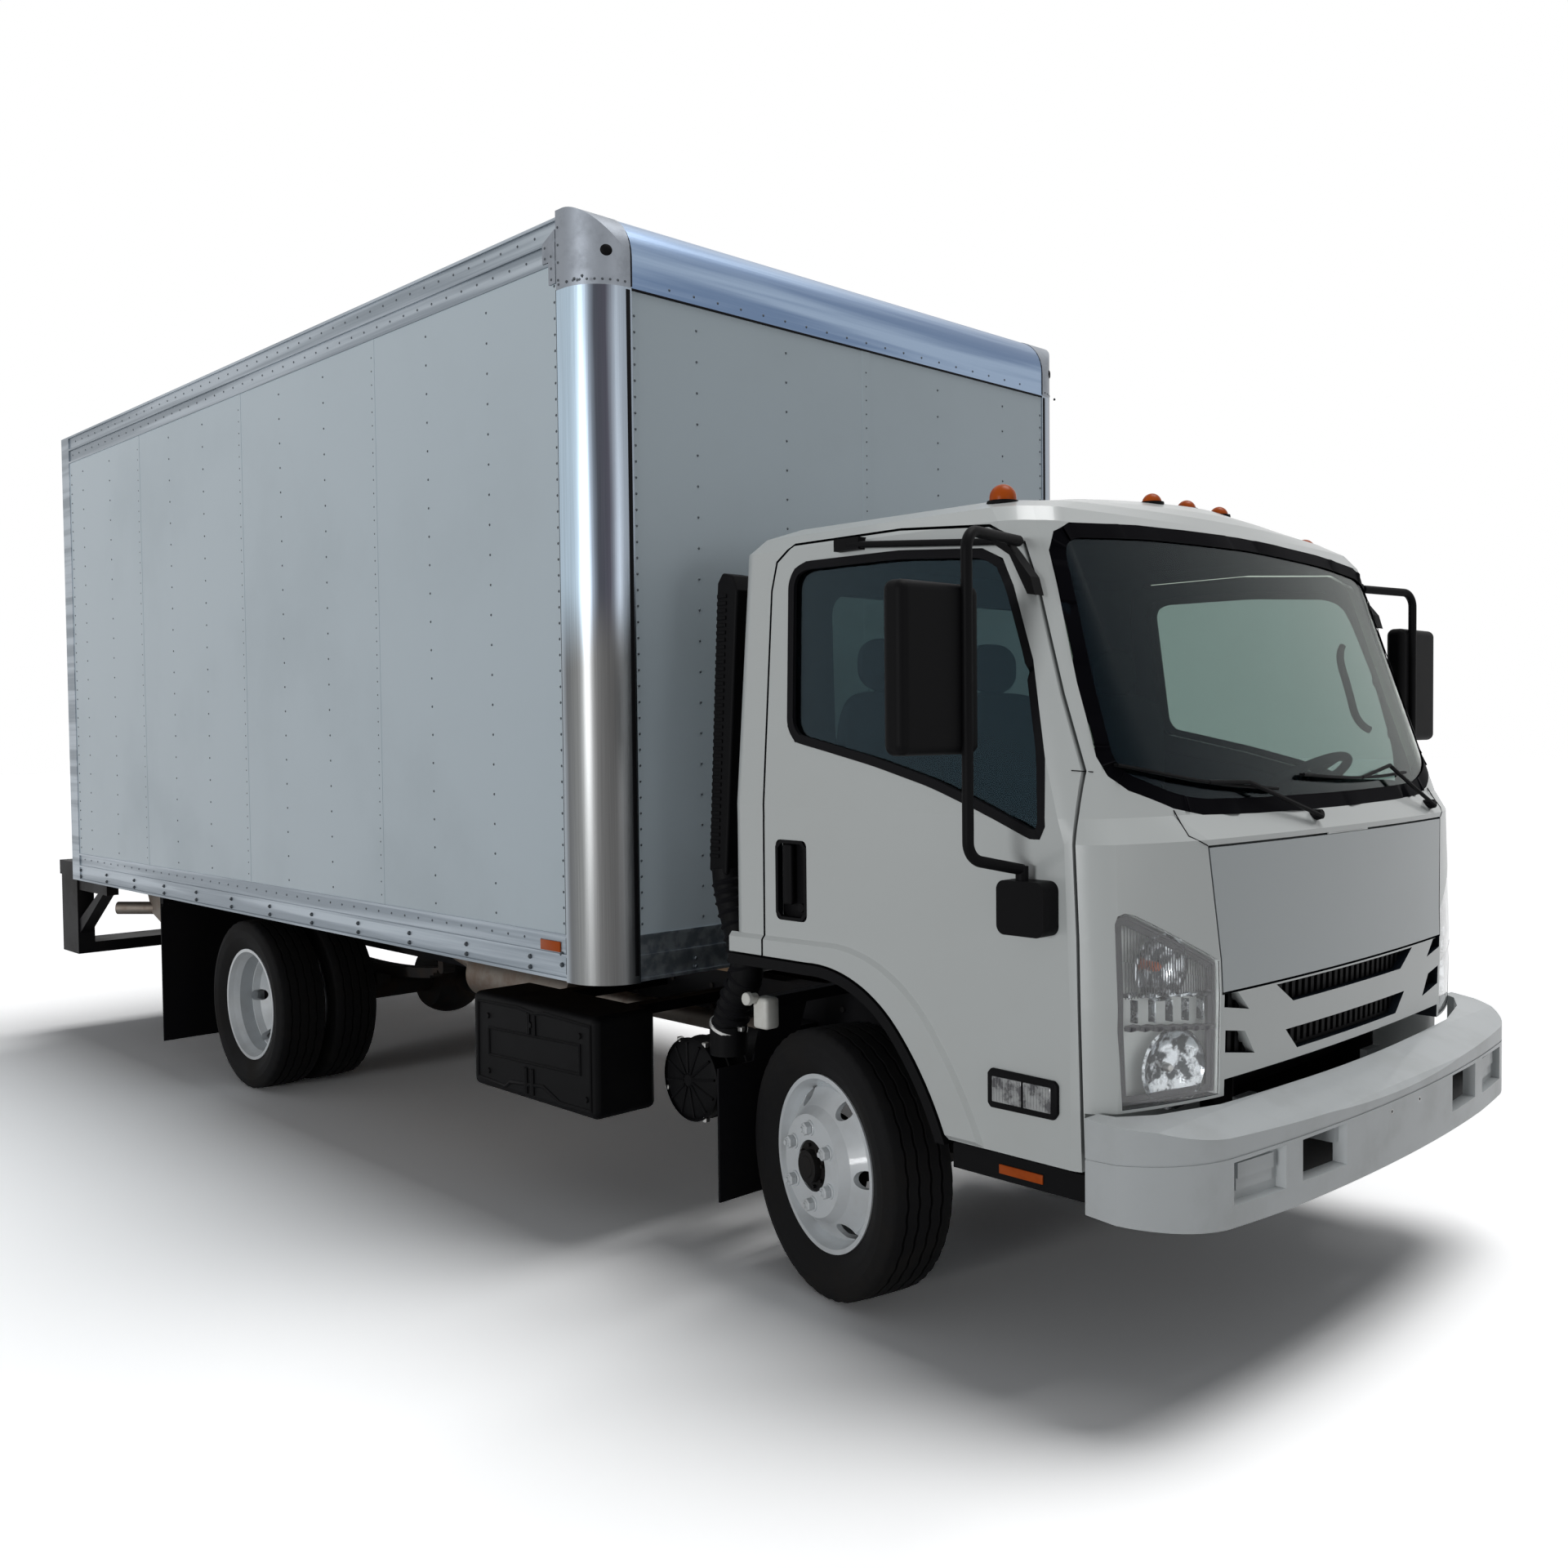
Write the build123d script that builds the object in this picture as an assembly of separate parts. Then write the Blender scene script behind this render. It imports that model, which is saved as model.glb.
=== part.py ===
from build123d import *
from math import atan2, cos, degrees, radians, sin
import os

# Box truck: a tilting cab over the front axle, a ladder frame and a riveted van body.
# Millimetres. +X forward, +Y to the vehicle's left, +Z up, the ground at z = 0.

# ---------------------------------------------------------------- driving sizes
FRONT_OVERHANG = 1320.0        # front axle to the bumper's face
WHEELBASE = 3810.0
AXLE_TO_BODY = 714.0           # front axle back to the van body's front wall
BODY_SIDE_LENGTH = 4885.0      # front wall to the rear frame
REAR_FRAME_DEPTH = 116.0
STEP_DEPTH = 290.0
BODY_WIDTH = 2438.0
BODY_FLOOR_Z = 877.0           # lower edge of the body's side rails
BODY_TOP_Z = 3306.0            # upper edge of the side rails
BODY_FRONT_TOP_Z = 3324.0      # crest of the rounded front rail
LOWER_RAIL_HEIGHT = 150.0
UPPER_RAIL_HEIGHT = 145.0
RAIL_THICKNESS = 30.0
WALL = 26.0
CORNER_RADIUS = 152.0
CORNER_SIDE_FLANGE = 36.0
CORNER_FRONT_FLANGE = 2.0
CORNER_SKIN = 5.0
CAP_HEIGHT = 232.0
ROOF_THICKNESS = 24.0
FLOOR_BOARD = 34.0
FLOOR_TOP_Z = BODY_FLOOR_Z + LOWER_RAIL_HEIGHT - 22.0

TYRE_RADIUS = 398.0
TYRE_WIDTH = 225.0
RIM_RADIUS = 262.0
RIM_WIDTH = 176.0
WHEEL_OFFSET = 127.0           # mounting face to the rim's middle plane
FRONT_TRACK = 1665.0
REAR_TRACK = 1650.0
KINGPIN_INSET = 88.0           # wheel middle plane in to the kingpin

FRAME_HALF_WIDTH = 425.0
FRAME_TOP_Z = 790.0
RAIL_DEPTH = 190.0
RAIL_FLANGE = 70.0
RAIL_WEB = 8.0

CAB_HALF_WIDTH = 1031.0
CAB_SILL_Z = 611.0
CAB_PANEL = 50.0               # thickness of pillars, doors and walls
DOOR_GAP = 8.0
FRONT_PANEL_Z = 755.0          # lower edge of the corner panels
GRILLE_PANEL_Z = 796.0         # lower edge of the panel between them
GLASS = 5.0

TOTAL_LENGTH = FRONT_OVERHANG + AXLE_TO_BODY + BODY_SIDE_LENGTH + REAR_FRAME_DEPTH + STEP_DEPTH
AXLE_X = TOTAL_LENGTH / 2 - FRONT_OVERHANG
REAR_AXLE_X = AXLE_X - WHEELBASE
BODY_FRONT_X = AXLE_X - AXLE_TO_BODY
BODY_REAR_X = BODY_FRONT_X - BODY_SIDE_LENGTH
HALF_BODY = BODY_WIDTH / 2

parts = {}


# ---------------------------------------------------------------- helpers
def block(x0, x1, y0, y1, z0, z1):
    return Pos((x0 + x1) / 2, (y0 + y1) / 2, (z0 + z1) / 2) * Box(x1 - x0, y1 - y0, z1 - z0)


def along_y(sketch, y0, y1):
    """Extrude a sketch drawn with x = X and y = Z from y0 to y1."""
    return extrude(Plane.XZ.offset(-y1) * sketch, amount=y1 - y0)


def along_x(sketch, x0, x1):
    """Extrude a sketch drawn with x = Y and y = Z from x0 to x1."""
    return extrude(Plane.YZ.offset(x0) * sketch, amount=x1 - x0)


def along_z(sketch, z0, z1):
    return extrude(Plane.XY.offset(z0) * sketch, amount=z1 - z0)


def polygon(*points):
    return make_face(Polyline(*points, close=True))


def both_sides(shape):
    return [shape, mirror(shape, Plane.XZ)]


def turned(profile, centre):
    """Revolve a profile drawn with x = Y and y = radius about the Y axis at centre."""
    face = Plane.YZ * profile
    return Pos(*centre) * revolve(face, Axis.Y, 360)


def bar_y(x, z, radius, y0, y1):
    return Pos(x, (y0 + y1) / 2, z) * Rot(90, 0, 0) * Cylinder(radius, y1 - y0)


def bar_x(y, z, radius, x0, x1):
    return Pos((x0 + x1) / 2, y, z) * Rot(0, 90, 0) * Cylinder(radius, x1 - x0)


def bar_z(x, y, radius, z0, z1):
    return Pos(x, y, (z0 + z1) / 2) * Cylinder(radius, z1 - z0)


def keep(name, *shapes):
    solids = []
    for shape in shapes:
        solids += list(shape.solids())
    parts[name] = Compound(children=solids) if len(solids) > 1 else solids[0]


# ---------------------------------------------------------------- chassis frame
def channel(x0, x1, side):
    y_out = side * FRAME_HALF_WIDTH
    y_in = y_out - side * RAIL_FLANGE
    low = FRAME_TOP_Z - RAIL_DEPTH
    web = block(x0, x1, min(y_out, y_out - side * RAIL_WEB), max(y_out, y_out - side * RAIL_WEB), low, FRAME_TOP_Z)
    ends = (min(y_out, y_in), max(y_out, y_in))
    top = block(x0, x1, *ends, FRAME_TOP_Z - RAIL_WEB, FRAME_TOP_Z)
    bottom = block(x0, x1, *ends, low, low + RAIL_WEB)
    return web + top + bottom


ENGINE_HALF_WIDTH = 260.0
FRAME_FRONT_X = AXLE_X + 1030.0
FRAME_REAR_X = BODY_REAR_X + 20.0
CROSSMEMBER_X = (AXLE_X + 900, AXLE_X - 1560, AXLE_X - 2250, AXLE_X - 3050, REAR_AXLE_X - 750, FRAME_REAR_X + 60)
CROSSMEMBER_RADIUS = 45.0
PIVOT_X = AXLE_X + 1050.0      # the cab tilts about a pin on the frame's front end
PIVOT_Z = 830.0
PIVOT_RADIUS = 12.0
PIVOT_LUG = 24.0
EAR_Y = (342.0, 388.0)
BRACKET_Y = (395.0, 421.0)


def chassis_frame():
    frame = channel(FRAME_REAR_X, FRAME_FRONT_X, 1) + channel(FRAME_REAR_X, FRAME_FRONT_X, -1)
    inner = FRAME_HALF_WIDTH - RAIL_WEB
    for x in CROSSMEMBER_X:
        frame += bar_y(x, FRAME_TOP_Z - RAIL_DEPTH / 2, CROSSMEMBER_RADIUS, -inner, inner)
    for side in (1, -1):
        ends = sorted((side * BRACKET_Y[0], side * BRACKET_Y[1]))
        horn = polygon((FRAME_FRONT_X - 70, FRAME_TOP_Z - 6), (FRAME_FRONT_X, FRAME_TOP_Z - 6),
                       (PIVOT_X + 18, PIVOT_Z - 14), (PIVOT_X - 16, PIVOT_Z + 16))
        frame += along_y(horn, *ends) + bar_y(PIVOT_X, PIVOT_Z, PIVOT_LUG, *ends)
        frame += bar_y(PIVOT_X, PIVOT_Z, PIVOT_RADIUS, *sorted((side * (EAR_Y[0] - 4), side * BRACKET_Y[1])))
        ends = sorted((side * ENGINE_HALF_WIDTH, side * inner))
        frame += block(AXLE_X + 60, AXLE_X + 140, *ends, 640, 700)
    return frame


keep("chassis_frame", chassis_frame())

# ---------------------------------------------------------------- axles, springs, drive line
FRONT_KINGPIN_Y = FRONT_TRACK / 2 - KINGPIN_INSET
KINGPIN_RADIUS = 18.0
BOSS_RADIUS = 36.0
BOSS_HALF = 45.0
ARM_THICKNESS = 26.0
PIN_CLEARANCE = 0.3
FRONT_SPRING_Y = 390.0
BEAM_DROP = 60.0
BEAM_Z = TYRE_RADIUS - BEAM_DROP


def front_axle():
    """Dropped beam with a kingpin boss and pin at each end."""
    end = FRONT_KINGPIN_Y
    half = 34.0
    neck = end - 50
    outline = polygon(
        (-end, TYRE_RADIUS + 40), (-end, TYRE_RADIUS - 40), (-neck, TYRE_RADIUS - 40), (-end + 170, BEAM_Z - half),
        (end - 170, BEAM_Z - half), (neck, TYRE_RADIUS - 40), (end, TYRE_RADIUS - 40), (end, TYRE_RADIUS + 40),
        (end - 190, BEAM_Z + half), (-end + 190, BEAM_Z + half),
    )
    beam = along_x(outline, AXLE_X - 32, AXLE_X + 32)
    for side in (1, -1):
        y = side * FRONT_KINGPIN_Y
        beam += bar_z(AXLE_X, y, BOSS_RADIUS, TYRE_RADIUS - BOSS_HALF, TYRE_RADIUS + BOSS_HALF)
        reach = BOSS_HALF + ARM_THICKNESS + 8
        beam += bar_z(AXLE_X, y, KINGPIN_RADIUS, TYRE_RADIUS - reach, TYRE_RADIUS + reach)
        beam += block(AXLE_X - 60, AXLE_X + 60, side * FRONT_SPRING_Y - 38, side * FRONT_SPRING_Y + 38,
                      BEAM_Z, BEAM_Z + half + 8)
    return beam


keep("front_axle", front_axle())
FRONT_PAD_Z = BEAM_Z + 34 + 8

REAR_TUBE_RADIUS = 62.0
REAR_SPRING_Y = 390.0
DUAL_SPACING = 2 * WHEEL_OFFSET
REAR_OUTER_Y = REAR_TRACK / 2 + WHEEL_OFFSET
REAR_INNER_Y = REAR_TRACK / 2 - WHEEL_OFFSET
REAR_FACE_Y = REAR_TRACK / 2
SPINDLE_RADIUS = 34.0


def rear_axle():
    """Banjo housing with spindles for the rear hubs."""
    inboard = REAR_FACE_Y - 150
    axle = bar_y(REAR_AXLE_X, TYRE_RADIUS, REAR_TUBE_RADIUS, -inboard, inboard)
    bowl = Pos(REAR_AXLE_X, 0, TYRE_RADIUS) * Sphere(185)
    bowl &= block(REAR_AXLE_X - 185, REAR_AXLE_X + 185, -120, 120, 0, 900)
    axle += bowl
    axle += bar_x(0, TYRE_RADIUS, 60, REAR_AXLE_X + 100, REAR_AXLE_X + 300)
    for side in (1, -1):
        ends = sorted((side * (inboard - 20), side * (REAR_FACE_Y + 44)))
        axle += bar_y(REAR_AXLE_X, TYRE_RADIUS, SPINDLE_RADIUS, *ends)
        axle += block(REAR_AXLE_X - 60, REAR_AXLE_X + 60, side * REAR_SPRING_Y - 38, side * REAR_SPRING_Y + 38,
                      TYRE_RADIUS, TYRE_RADIUS + REAR_TUBE_RADIUS + 14)
    return axle


keep("rear_axle", rear_axle())
REAR_PAD_Z = TYRE_RADIUS + REAR_TUBE_RADIUS + 14


def leaf_spring(x, y, pad_z, length, leaves):
    """A pack of leaves on its axle pad, curving up to eyes under the frame rail."""
    pack_z = pad_z
    rise = FRAME_TOP_Z - RAIL_DEPTH - pad_z - leaves * 12 - 30
    spring = None
    for i in range(leaves):
        half = length / 2 * (1 - 0.2 * (leaves - 1 - i) / leaves)
        low = pack_z + 12 * i
        lift = rise * (half / (length / 2)) ** 2
        lower = ThreePointArc((x - half, low + lift), (x, low), (x + half, low + lift))
        upper = ThreePointArc((x + half, low + lift + 12), (x, low + 12), (x - half, low + lift + 12))
        sides = [Line((x + half, low + lift), (x + half, low + lift + 12)),
                 Line((x - half, low + lift + 12), (x - half, low + lift))]
        leaf = along_y(make_face([lower, sides[0], upper, sides[1]]), y - 32, y + 32)
        spring = leaf if spring is None else spring + leaf
    top_z = pack_z + 12 * (leaves - 1) + rise
    for end in (-1, 1):
        ex = x + end * length / 2
        eye_z = top_z + 6
        spring += bar_y(ex, eye_z, 24, y - 32, y + 32)
        spring += block(ex - 22, ex + 22, y - 32, y + 32, eye_z, FRAME_TOP_Z - RAIL_DEPTH)
    return spring


FRONT_SPRING_LENGTH = 1200.0
REAR_SPRING_LENGTH = 1360.0
keep("leaf_springs",
     *both_sides(leaf_spring(AXLE_X, FRONT_SPRING_Y, FRONT_PAD_Z, FRONT_SPRING_LENGTH, 3)),
     *both_sides(leaf_spring(REAR_AXLE_X, REAR_SPRING_Y, REAR_PAD_Z, REAR_SPRING_LENGTH, 4)))

ENGINE_X = (AXLE_X - 420, AXLE_X + 420)
ENGINE_Z = (470.0, 955.0)
keep("engine_block", block(*ENGINE_X, -ENGINE_HALF_WIDTH, ENGINE_HALF_WIDTH, *ENGINE_Z))
GEARBOX_REAR_X = AXLE_X - 1150.0


def drive_shaft():
    start = (GEARBOX_REAR_X, 640.0)
    end = (REAR_AXLE_X + 300, TYRE_RADIUS)
    run = ((start[0] - end[0]) ** 2 + (start[1] - end[1]) ** 2) ** 0.5
    tilt = degrees(atan2(start[1] - end[1], start[0] - end[0]))
    middle = Pos((start[0] + end[0]) / 2, 0, (start[1] + end[1]) / 2)
    return middle * Rot(0, 90 - tilt, 0) * Cylinder(38, run - 8.6)


gearbox = bar_x(0, 640, 130, AXLE_X - 800, ENGINE_X[0]) + bar_x(0, 640, 80, GEARBOX_REAR_X, AXLE_X - 800)
keep("drive_line", gearbox, drive_shaft())


# ---------------------------------------------------------------- wheels
def tyre(y_mid, x):
    """Tyre section: tread with four grooves, rounded shoulders and beads on the rim."""
    half = TYRE_WIDTH / 2
    tread = 92.0
    bead = 80.0
    rim = RIM_RADIUS - 12
    outer = TYRE_RADIUS
    points = [(-bead, rim + 2), (-bead, rim + 12), (-bead - 7, rim + 22)]
    right = [(bead + 7, rim + 22), (bead, rim + 12), (bead, rim + 2)]
    wall_l = ThreePointArc(points[2], (-half, (rim + outer) / 2 + 12), (-tread - 8, outer - 14))
    wall_r = ThreePointArc((tread + 8, outer - 14), (half, (rim + outer) / 2 + 12), right[0])
    crown = [(-tread - 8, outer - 14), (-tread, outer - 2)]
    groove, depth = 9.0, 12.0
    for centre in (-58.0, -20.0, 20.0, 58.0):
        top = outer - 2 * (centre / tread) ** 2
        crown += [(centre - groove / 2, top), (centre - groove / 2 + 1, top - depth),
                  (centre + groove / 2 - 1, top - depth), (centre + groove / 2, top)]
    crown += [(tread, outer - 2), (tread + 8, outer - 14)]
    inner = [(bead, rim + 2), (bead - 14, rim + 2), (bead - 14, rim + 22), (-bead + 14, rim + 22),
             (-bead + 14, rim + 2), (-bead, rim + 2)]
    edges = [Polyline(*points), wall_l, Polyline(*crown), wall_r, Polyline(*right), Polyline(*inner)]
    return turned(make_face(edges), (x, y_mid, TYRE_RADIUS))


DISC_THICKNESS = 12.0
HUB_HOLE = 75.0


def rim_profile(side):
    """Half section of the rim and its dished disc, drawn with outboard = +y for side 1."""
    h = RIM_WIDTH / 2
    r = RIM_RADIUS
    face = WHEEL_OFFSET
    barrel = polygon(
        (-h, r), (-h, r - 14), (-h + 22, r - 22), (-40, r - 34), (40, r - 34), (h - 22, r - 22), (h, r - 14),
        (h, r), (h - 8, r), (h - 8, r - 10), (h - 24, r - 13.5), (-h + 24, r - 13.5), (-h + 8, r - 10), (-h + 8, r),
    )
    t = DISC_THICKNESS
    disc = polygon(
        (20, r - 30), (36, r - 30), (60, r - 42), (face - 26, 172), (face, 150), (face, HUB_HOLE),
        (face - t, HUB_HOLE), (face - t, 145), (face - 36, 164), (50, r - 52), (20, r - 40),
    )
    section = barrel + disc
    return section if side > 0 else section.mirror(Plane.YZ)


HAND_HOLES = 6
HAND_HOLE_RADIUS = 205.0


def disc_wheel(y_mid, x, side):
    """Pressed disc wheel; side says which way the dish faces."""
    wheel = turned(rim_profile(side), (x, y_mid, TYRE_RADIUS))
    depth = side * 75.0
    for i in range(HAND_HOLES):
        angle = radians(360 / HAND_HOLES * i)
        hx = x + HAND_HOLE_RADIUS * cos(angle)
        hz = TYRE_RADIUS + HAND_HOLE_RADIUS * sin(angle)
        ends = sorted((y_mid + depth - 60, y_mid + depth + 60))
        wheel -= bar_y(hx, hz, 27, *ends)
    return wheel


HUB_BORE_CLEARANCE = 0.3


def front_hub(side):
    """Drum and flange behind the disc, with a short barrel in its centre hole."""
    face = side * (FRONT_TRACK / 2 + WHEEL_OFFSET - DISC_THICKNESS)
    hub = bar_y(AXLE_X, TYRE_RADIUS, 140, *sorted((face - side * 92, face)))
    hub += bar_y(AXLE_X, TYRE_RADIUS, HUB_HOLE - 2, *sorted((face - side * 5, face + side * 8)))
    hub += bar_y(AXLE_X, TYRE_RADIUS, 48, *sorted((face, face + side * 30)))
    return hub - bar_y(AXLE_X, TYRE_RADIUS, SPINDLE_RADIUS + HUB_BORE_CLEARANCE,
                       *sorted((face - side * 100, face + side * 18)))


def rear_hub(side):
    """Drum, flange behind the twin discs, and the barrel that shows in the outer dish."""
    face = side * (REAR_FACE_Y - DISC_THICKNESS)
    hub = bar_y(REAR_AXLE_X, TYRE_RADIUS, 140, *sorted((face - side * 110, face)))
    hub += bar_y(REAR_AXLE_X, TYRE_RADIUS, HUB_HOLE - 2, *sorted((face - side * 5, face + side * 70)))
    return hub - bar_y(REAR_AXLE_X, TYRE_RADIUS, SPINDLE_RADIUS + HUB_BORE_CLEARANCE,
                       *sorted((face - side * 120, face + side * 62)))


STEER = -12.5                  # the wheels stand turned a little to the right


def steered(shape, side):
    y = side * FRONT_KINGPIN_Y
    return Pos(AXLE_X, y, 0) * Rot(0, 0, STEER) * Pos(-AXLE_X, -y, 0) * shape


FRONT_SPINDLE_END = FRONT_TRACK / 2 + WHEEL_OFFSET
for name, side in (("left", 1), ("right", -1)):
    y_mid = side * FRONT_TRACK / 2
    keep("front_%s_tyre" % name, steered(tyre(y_mid, AXLE_X), side))
    keep("front_%s_wheel" % name, steered(disc_wheel(y_mid, AXLE_X, side), side))
    keep("front_%s_hub" % name, steered(front_hub(side), side))
    keep("rear_%s_tyres" % name, tyre(side * REAR_OUTER_Y, REAR_AXLE_X), tyre(side * REAR_INNER_Y, REAR_AXLE_X))
    keep("rear_%s_wheels" % name, disc_wheel(side * REAR_OUTER_Y, REAR_AXLE_X, -side),
         disc_wheel(side * REAR_INNER_Y, REAR_AXLE_X, side))
    keep("rear_%s_hub" % name, rear_hub(side))


def knuckle(side):
    """Yoke round the axle's boss, with the spindle that carries the hub."""
    y = side * FRONT_KINGPIN_Y
    z = TYRE_RADIUS
    body = None
    for sign in (1, -1):
        lo, hi = sorted((z + sign * (BOSS_HALF + PIN_CLEARANCE), z + sign * (BOSS_HALF + ARM_THICKNESS)))
        arm = bar_z(AXLE_X, y, 38, lo, hi)
        arm += block(AXLE_X - 30, AXLE_X + 30, *sorted((y, y + side * 66)), lo, hi)
        body = arm if body is None else body + arm
    reach = BOSS_HALF + ARM_THICKNESS
    body += block(AXLE_X - 34, AXLE_X + 34, *sorted((y + side * 44, y + side * 70)), z - reach, z + reach)
    body += bar_y(AXLE_X, z, SPINDLE_RADIUS, *sorted((y + side * 50, side * FRONT_SPINDLE_END)))
    body += block(AXLE_X - 190, AXLE_X - 20, *sorted((y + side * 40, y + side * 62)), z - reach, z - reach + 20)
    return body - bar_z(AXLE_X, y, KINGPIN_RADIUS + PIN_CLEARANCE, z - 200, z + 200)


for name, side in (("left", 1), ("right", -1)):
    keep("knuckle_" + name, steered(knuckle(side), side))

# ---------------------------------------------------------------- van body
RAIL_TOP_Z = BODY_FLOOR_Z + LOWER_RAIL_HEIGHT
TOP_RAIL_Z = BODY_TOP_Z - UPPER_RAIL_HEIGHT
SIDE_REACH = CORNER_RADIUS + CORNER_SIDE_FLANGE      # how far a post covers the side wall
FRONT_REACH = CORNER_RADIUS + CORNER_FRONT_FLANGE    # and the front wall
CAP_Z = BODY_FRONT_TOP_Z + 2 - CAP_HEIGHT - 18
SIDE_FRONT_X = BODY_FRONT_X - SIDE_REACH
LIP = 6.0


def side_rail(height, z0, x0, x1, lips):
    """Extruded side rail with raised lips, drawn for the left side."""
    y_in = HALF_BODY - RAIL_THICKNESS
    rail = block(x0, x1, y_in, HALF_BODY - LIP, z0, z0 + height)
    for lip in lips:
        rail += block(x0, x1, HALF_BODY - LIP, HALF_BODY, z0 + lip - 5, z0 + lip + 5)
    return rail


LOWER_LIPS = (5.0, 80.0, LOWER_RAIL_HEIGHT - 5.0)
UPPER_LIPS = (5.0, 73.0, UPPER_RAIL_HEIGHT - 5.0)


def lower_rails():
    side = side_rail(LOWER_RAIL_HEIGHT, BODY_FLOOR_Z, BODY_REAR_X, SIDE_FRONT_X, LOWER_LIPS)
    front = block(BODY_FRONT_X - RAIL_THICKNESS, BODY_FRONT_X - LIP, -HALF_BODY + FRONT_REACH,
                  HALF_BODY - FRONT_REACH, BODY_FLOOR_Z, RAIL_TOP_Z)
    for lip in LOWER_LIPS:
        front += block(BODY_FRONT_X - LIP, BODY_FRONT_X, -HALF_BODY + FRONT_REACH, HALF_BODY - FRONT_REACH,
                       BODY_FLOOR_Z + lip - 5, BODY_FLOOR_Z + lip + 5)
    return both_sides(side) + [front]


keep("body_rails", *lower_rails(),
     *both_sides(side_rail(UPPER_RAIL_HEIGHT, TOP_RAIL_Z, BODY_REAR_X, SIDE_FRONT_X, UPPER_LIPS)))
keep("body_walls",
     *both_sides(block(BODY_REAR_X, SIDE_FRONT_X, HALF_BODY - WALL - 4, HALF_BODY - 4, RAIL_TOP_Z, TOP_RAIL_Z)),
     block(BODY_FRONT_X - WALL - 4, BODY_FRONT_X - 4, -HALF_BODY + FRONT_REACH,
           HALF_BODY - FRONT_REACH, RAIL_TOP_Z, CAP_Z))


def corner_section(grow):
    """Rounded corner strip seen from above, for the left front corner; grow thickens it inwards."""
    outer_x, outer_y = BODY_FRONT_X, HALF_BODY
    r = CORNER_RADIUS
    k = r * (1 - 0.70710678)
    skin = CORNER_SKIN + grow
    ri = r - skin
    ki = skin + ri * (1 - 0.70710678)
    edges = [
        Line((outer_x - SIDE_REACH, outer_y), (outer_x - r, outer_y)),
        ThreePointArc((outer_x - r, outer_y), (outer_x - k, outer_y - k), (outer_x, outer_y - r)),
        Line((outer_x, outer_y - r), (outer_x, outer_y - FRONT_REACH)),
        Line((outer_x, outer_y - FRONT_REACH), (outer_x - skin, outer_y - FRONT_REACH)),
        Line((outer_x - skin, outer_y - FRONT_REACH), (outer_x - skin, outer_y - r)),
        ThreePointArc((outer_x - skin, outer_y - r), (outer_x - ki, outer_y - ki), (outer_x - r, outer_y - skin)),
        Line((outer_x - r, outer_y - skin), (outer_x - SIDE_REACH, outer_y - skin)),
        Line((outer_x - SIDE_REACH, outer_y - skin), (outer_x - SIDE_REACH, outer_y)),
    ]
    return make_face(edges)


keep("corner_posts", *both_sides(along_z(corner_section(19.0), BODY_FLOOR_Z - 4, CAP_Z)))


def corner_cap():
    """Cast cap that closes the post, the side rail and the front rail."""
    top = BODY_FRONT_TOP_Z + 2

    def lump(inset):
        shape = block(BODY_FRONT_X - SIDE_REACH, BODY_FRONT_X - inset, HALF_BODY - FRONT_REACH,
                      HALF_BODY - inset, CAP_Z, top - inset)
        front = shape.faces().sort_by(Axis.X)[-1]
        side = shape.faces().sort_by(Axis.Y)[-1]
        roof = shape.faces().sort_by(Axis.Z)[-1]
        upright = [e for e in front.edges() if e in side.edges()]
        brow = [e for e in front.edges() if e in roof.edges()]
        shape = fillet(upright + brow, CORNER_RADIUS - inset)
        return shape

    return lump(0) - lump(12)


keep("corner_caps", *both_sides(corner_cap()))


def front_top_rail():
    """Large-radius extrusion along the top of the front wall."""
    x, z, r = BODY_FRONT_X, BODY_FRONT_TOP_Z, CORNER_RADIUS
    t = 14.0
    back = x - SIDE_REACH
    k = r * (1 - 0.70710678)
    ri = r - t
    ki = t + ri * (1 - 0.70710678)
    edges = [
        Line((x, CAP_Z), (x, z - r)),
        ThreePointArc((x, z - r), (x - k, z - k), (x - r, z)),
        Line((x - r, z), (back, z)),
        Line((back, z), (back, z - t)),
        Line((back, z - t), (x - r, z - t)),
        ThreePointArc((x - r, z - t), (x - ki, z - ki), (x - t, z - r)),
        Line((x - t, z - r), (x - t, CAP_Z)),
        Line((x - t, CAP_Z), (x, CAP_Z)),
    ]
    return along_y(make_face(edges), -HALF_BODY + FRONT_REACH, HALF_BODY - FRONT_REACH)


keep("front_top_rail", front_top_rail())
keep("roof", block(BODY_REAR_X, SIDE_FRONT_X, -HALF_BODY + RAIL_THICKNESS, HALF_BODY - RAIL_THICKNESS,
                   BODY_TOP_Z - ROOF_THICKNESS, BODY_TOP_Z))

SILL_WIDTH = 60.0
FLOOR_BEAMS = 12


def floor():
    """Boards on cross beams and two long sills that sit on the frame."""
    y = HALF_BODY - RAIL_THICKNESS
    x_front = BODY_FRONT_X - RAIL_THICKNESS - 170
    boards = block(BODY_REAR_X, x_front, -y, y, FLOOR_TOP_Z - FLOOR_BOARD, FLOOR_TOP_Z)
    step = (x_front - BODY_REAR_X - 100) / (FLOOR_BEAMS - 1)
    for i in range(FLOOR_BEAMS):
        x = BODY_REAR_X + 50 + i * step
        boards += block(x - 22, x + 22, -y, y, BODY_FLOOR_Z, FLOOR_TOP_Z - FLOOR_BOARD)
    for side in (1, -1):
        ends = sorted((side * (FRAME_HALF_WIDTH - SILL_WIDTH), side * FRAME_HALF_WIDTH))
        boards += block(BODY_REAR_X, x_front, *ends, FRAME_TOP_Z, BODY_FLOOR_Z)
    return boards


keep("load_floor", floor())

REAR_POST = 95.0


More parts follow.
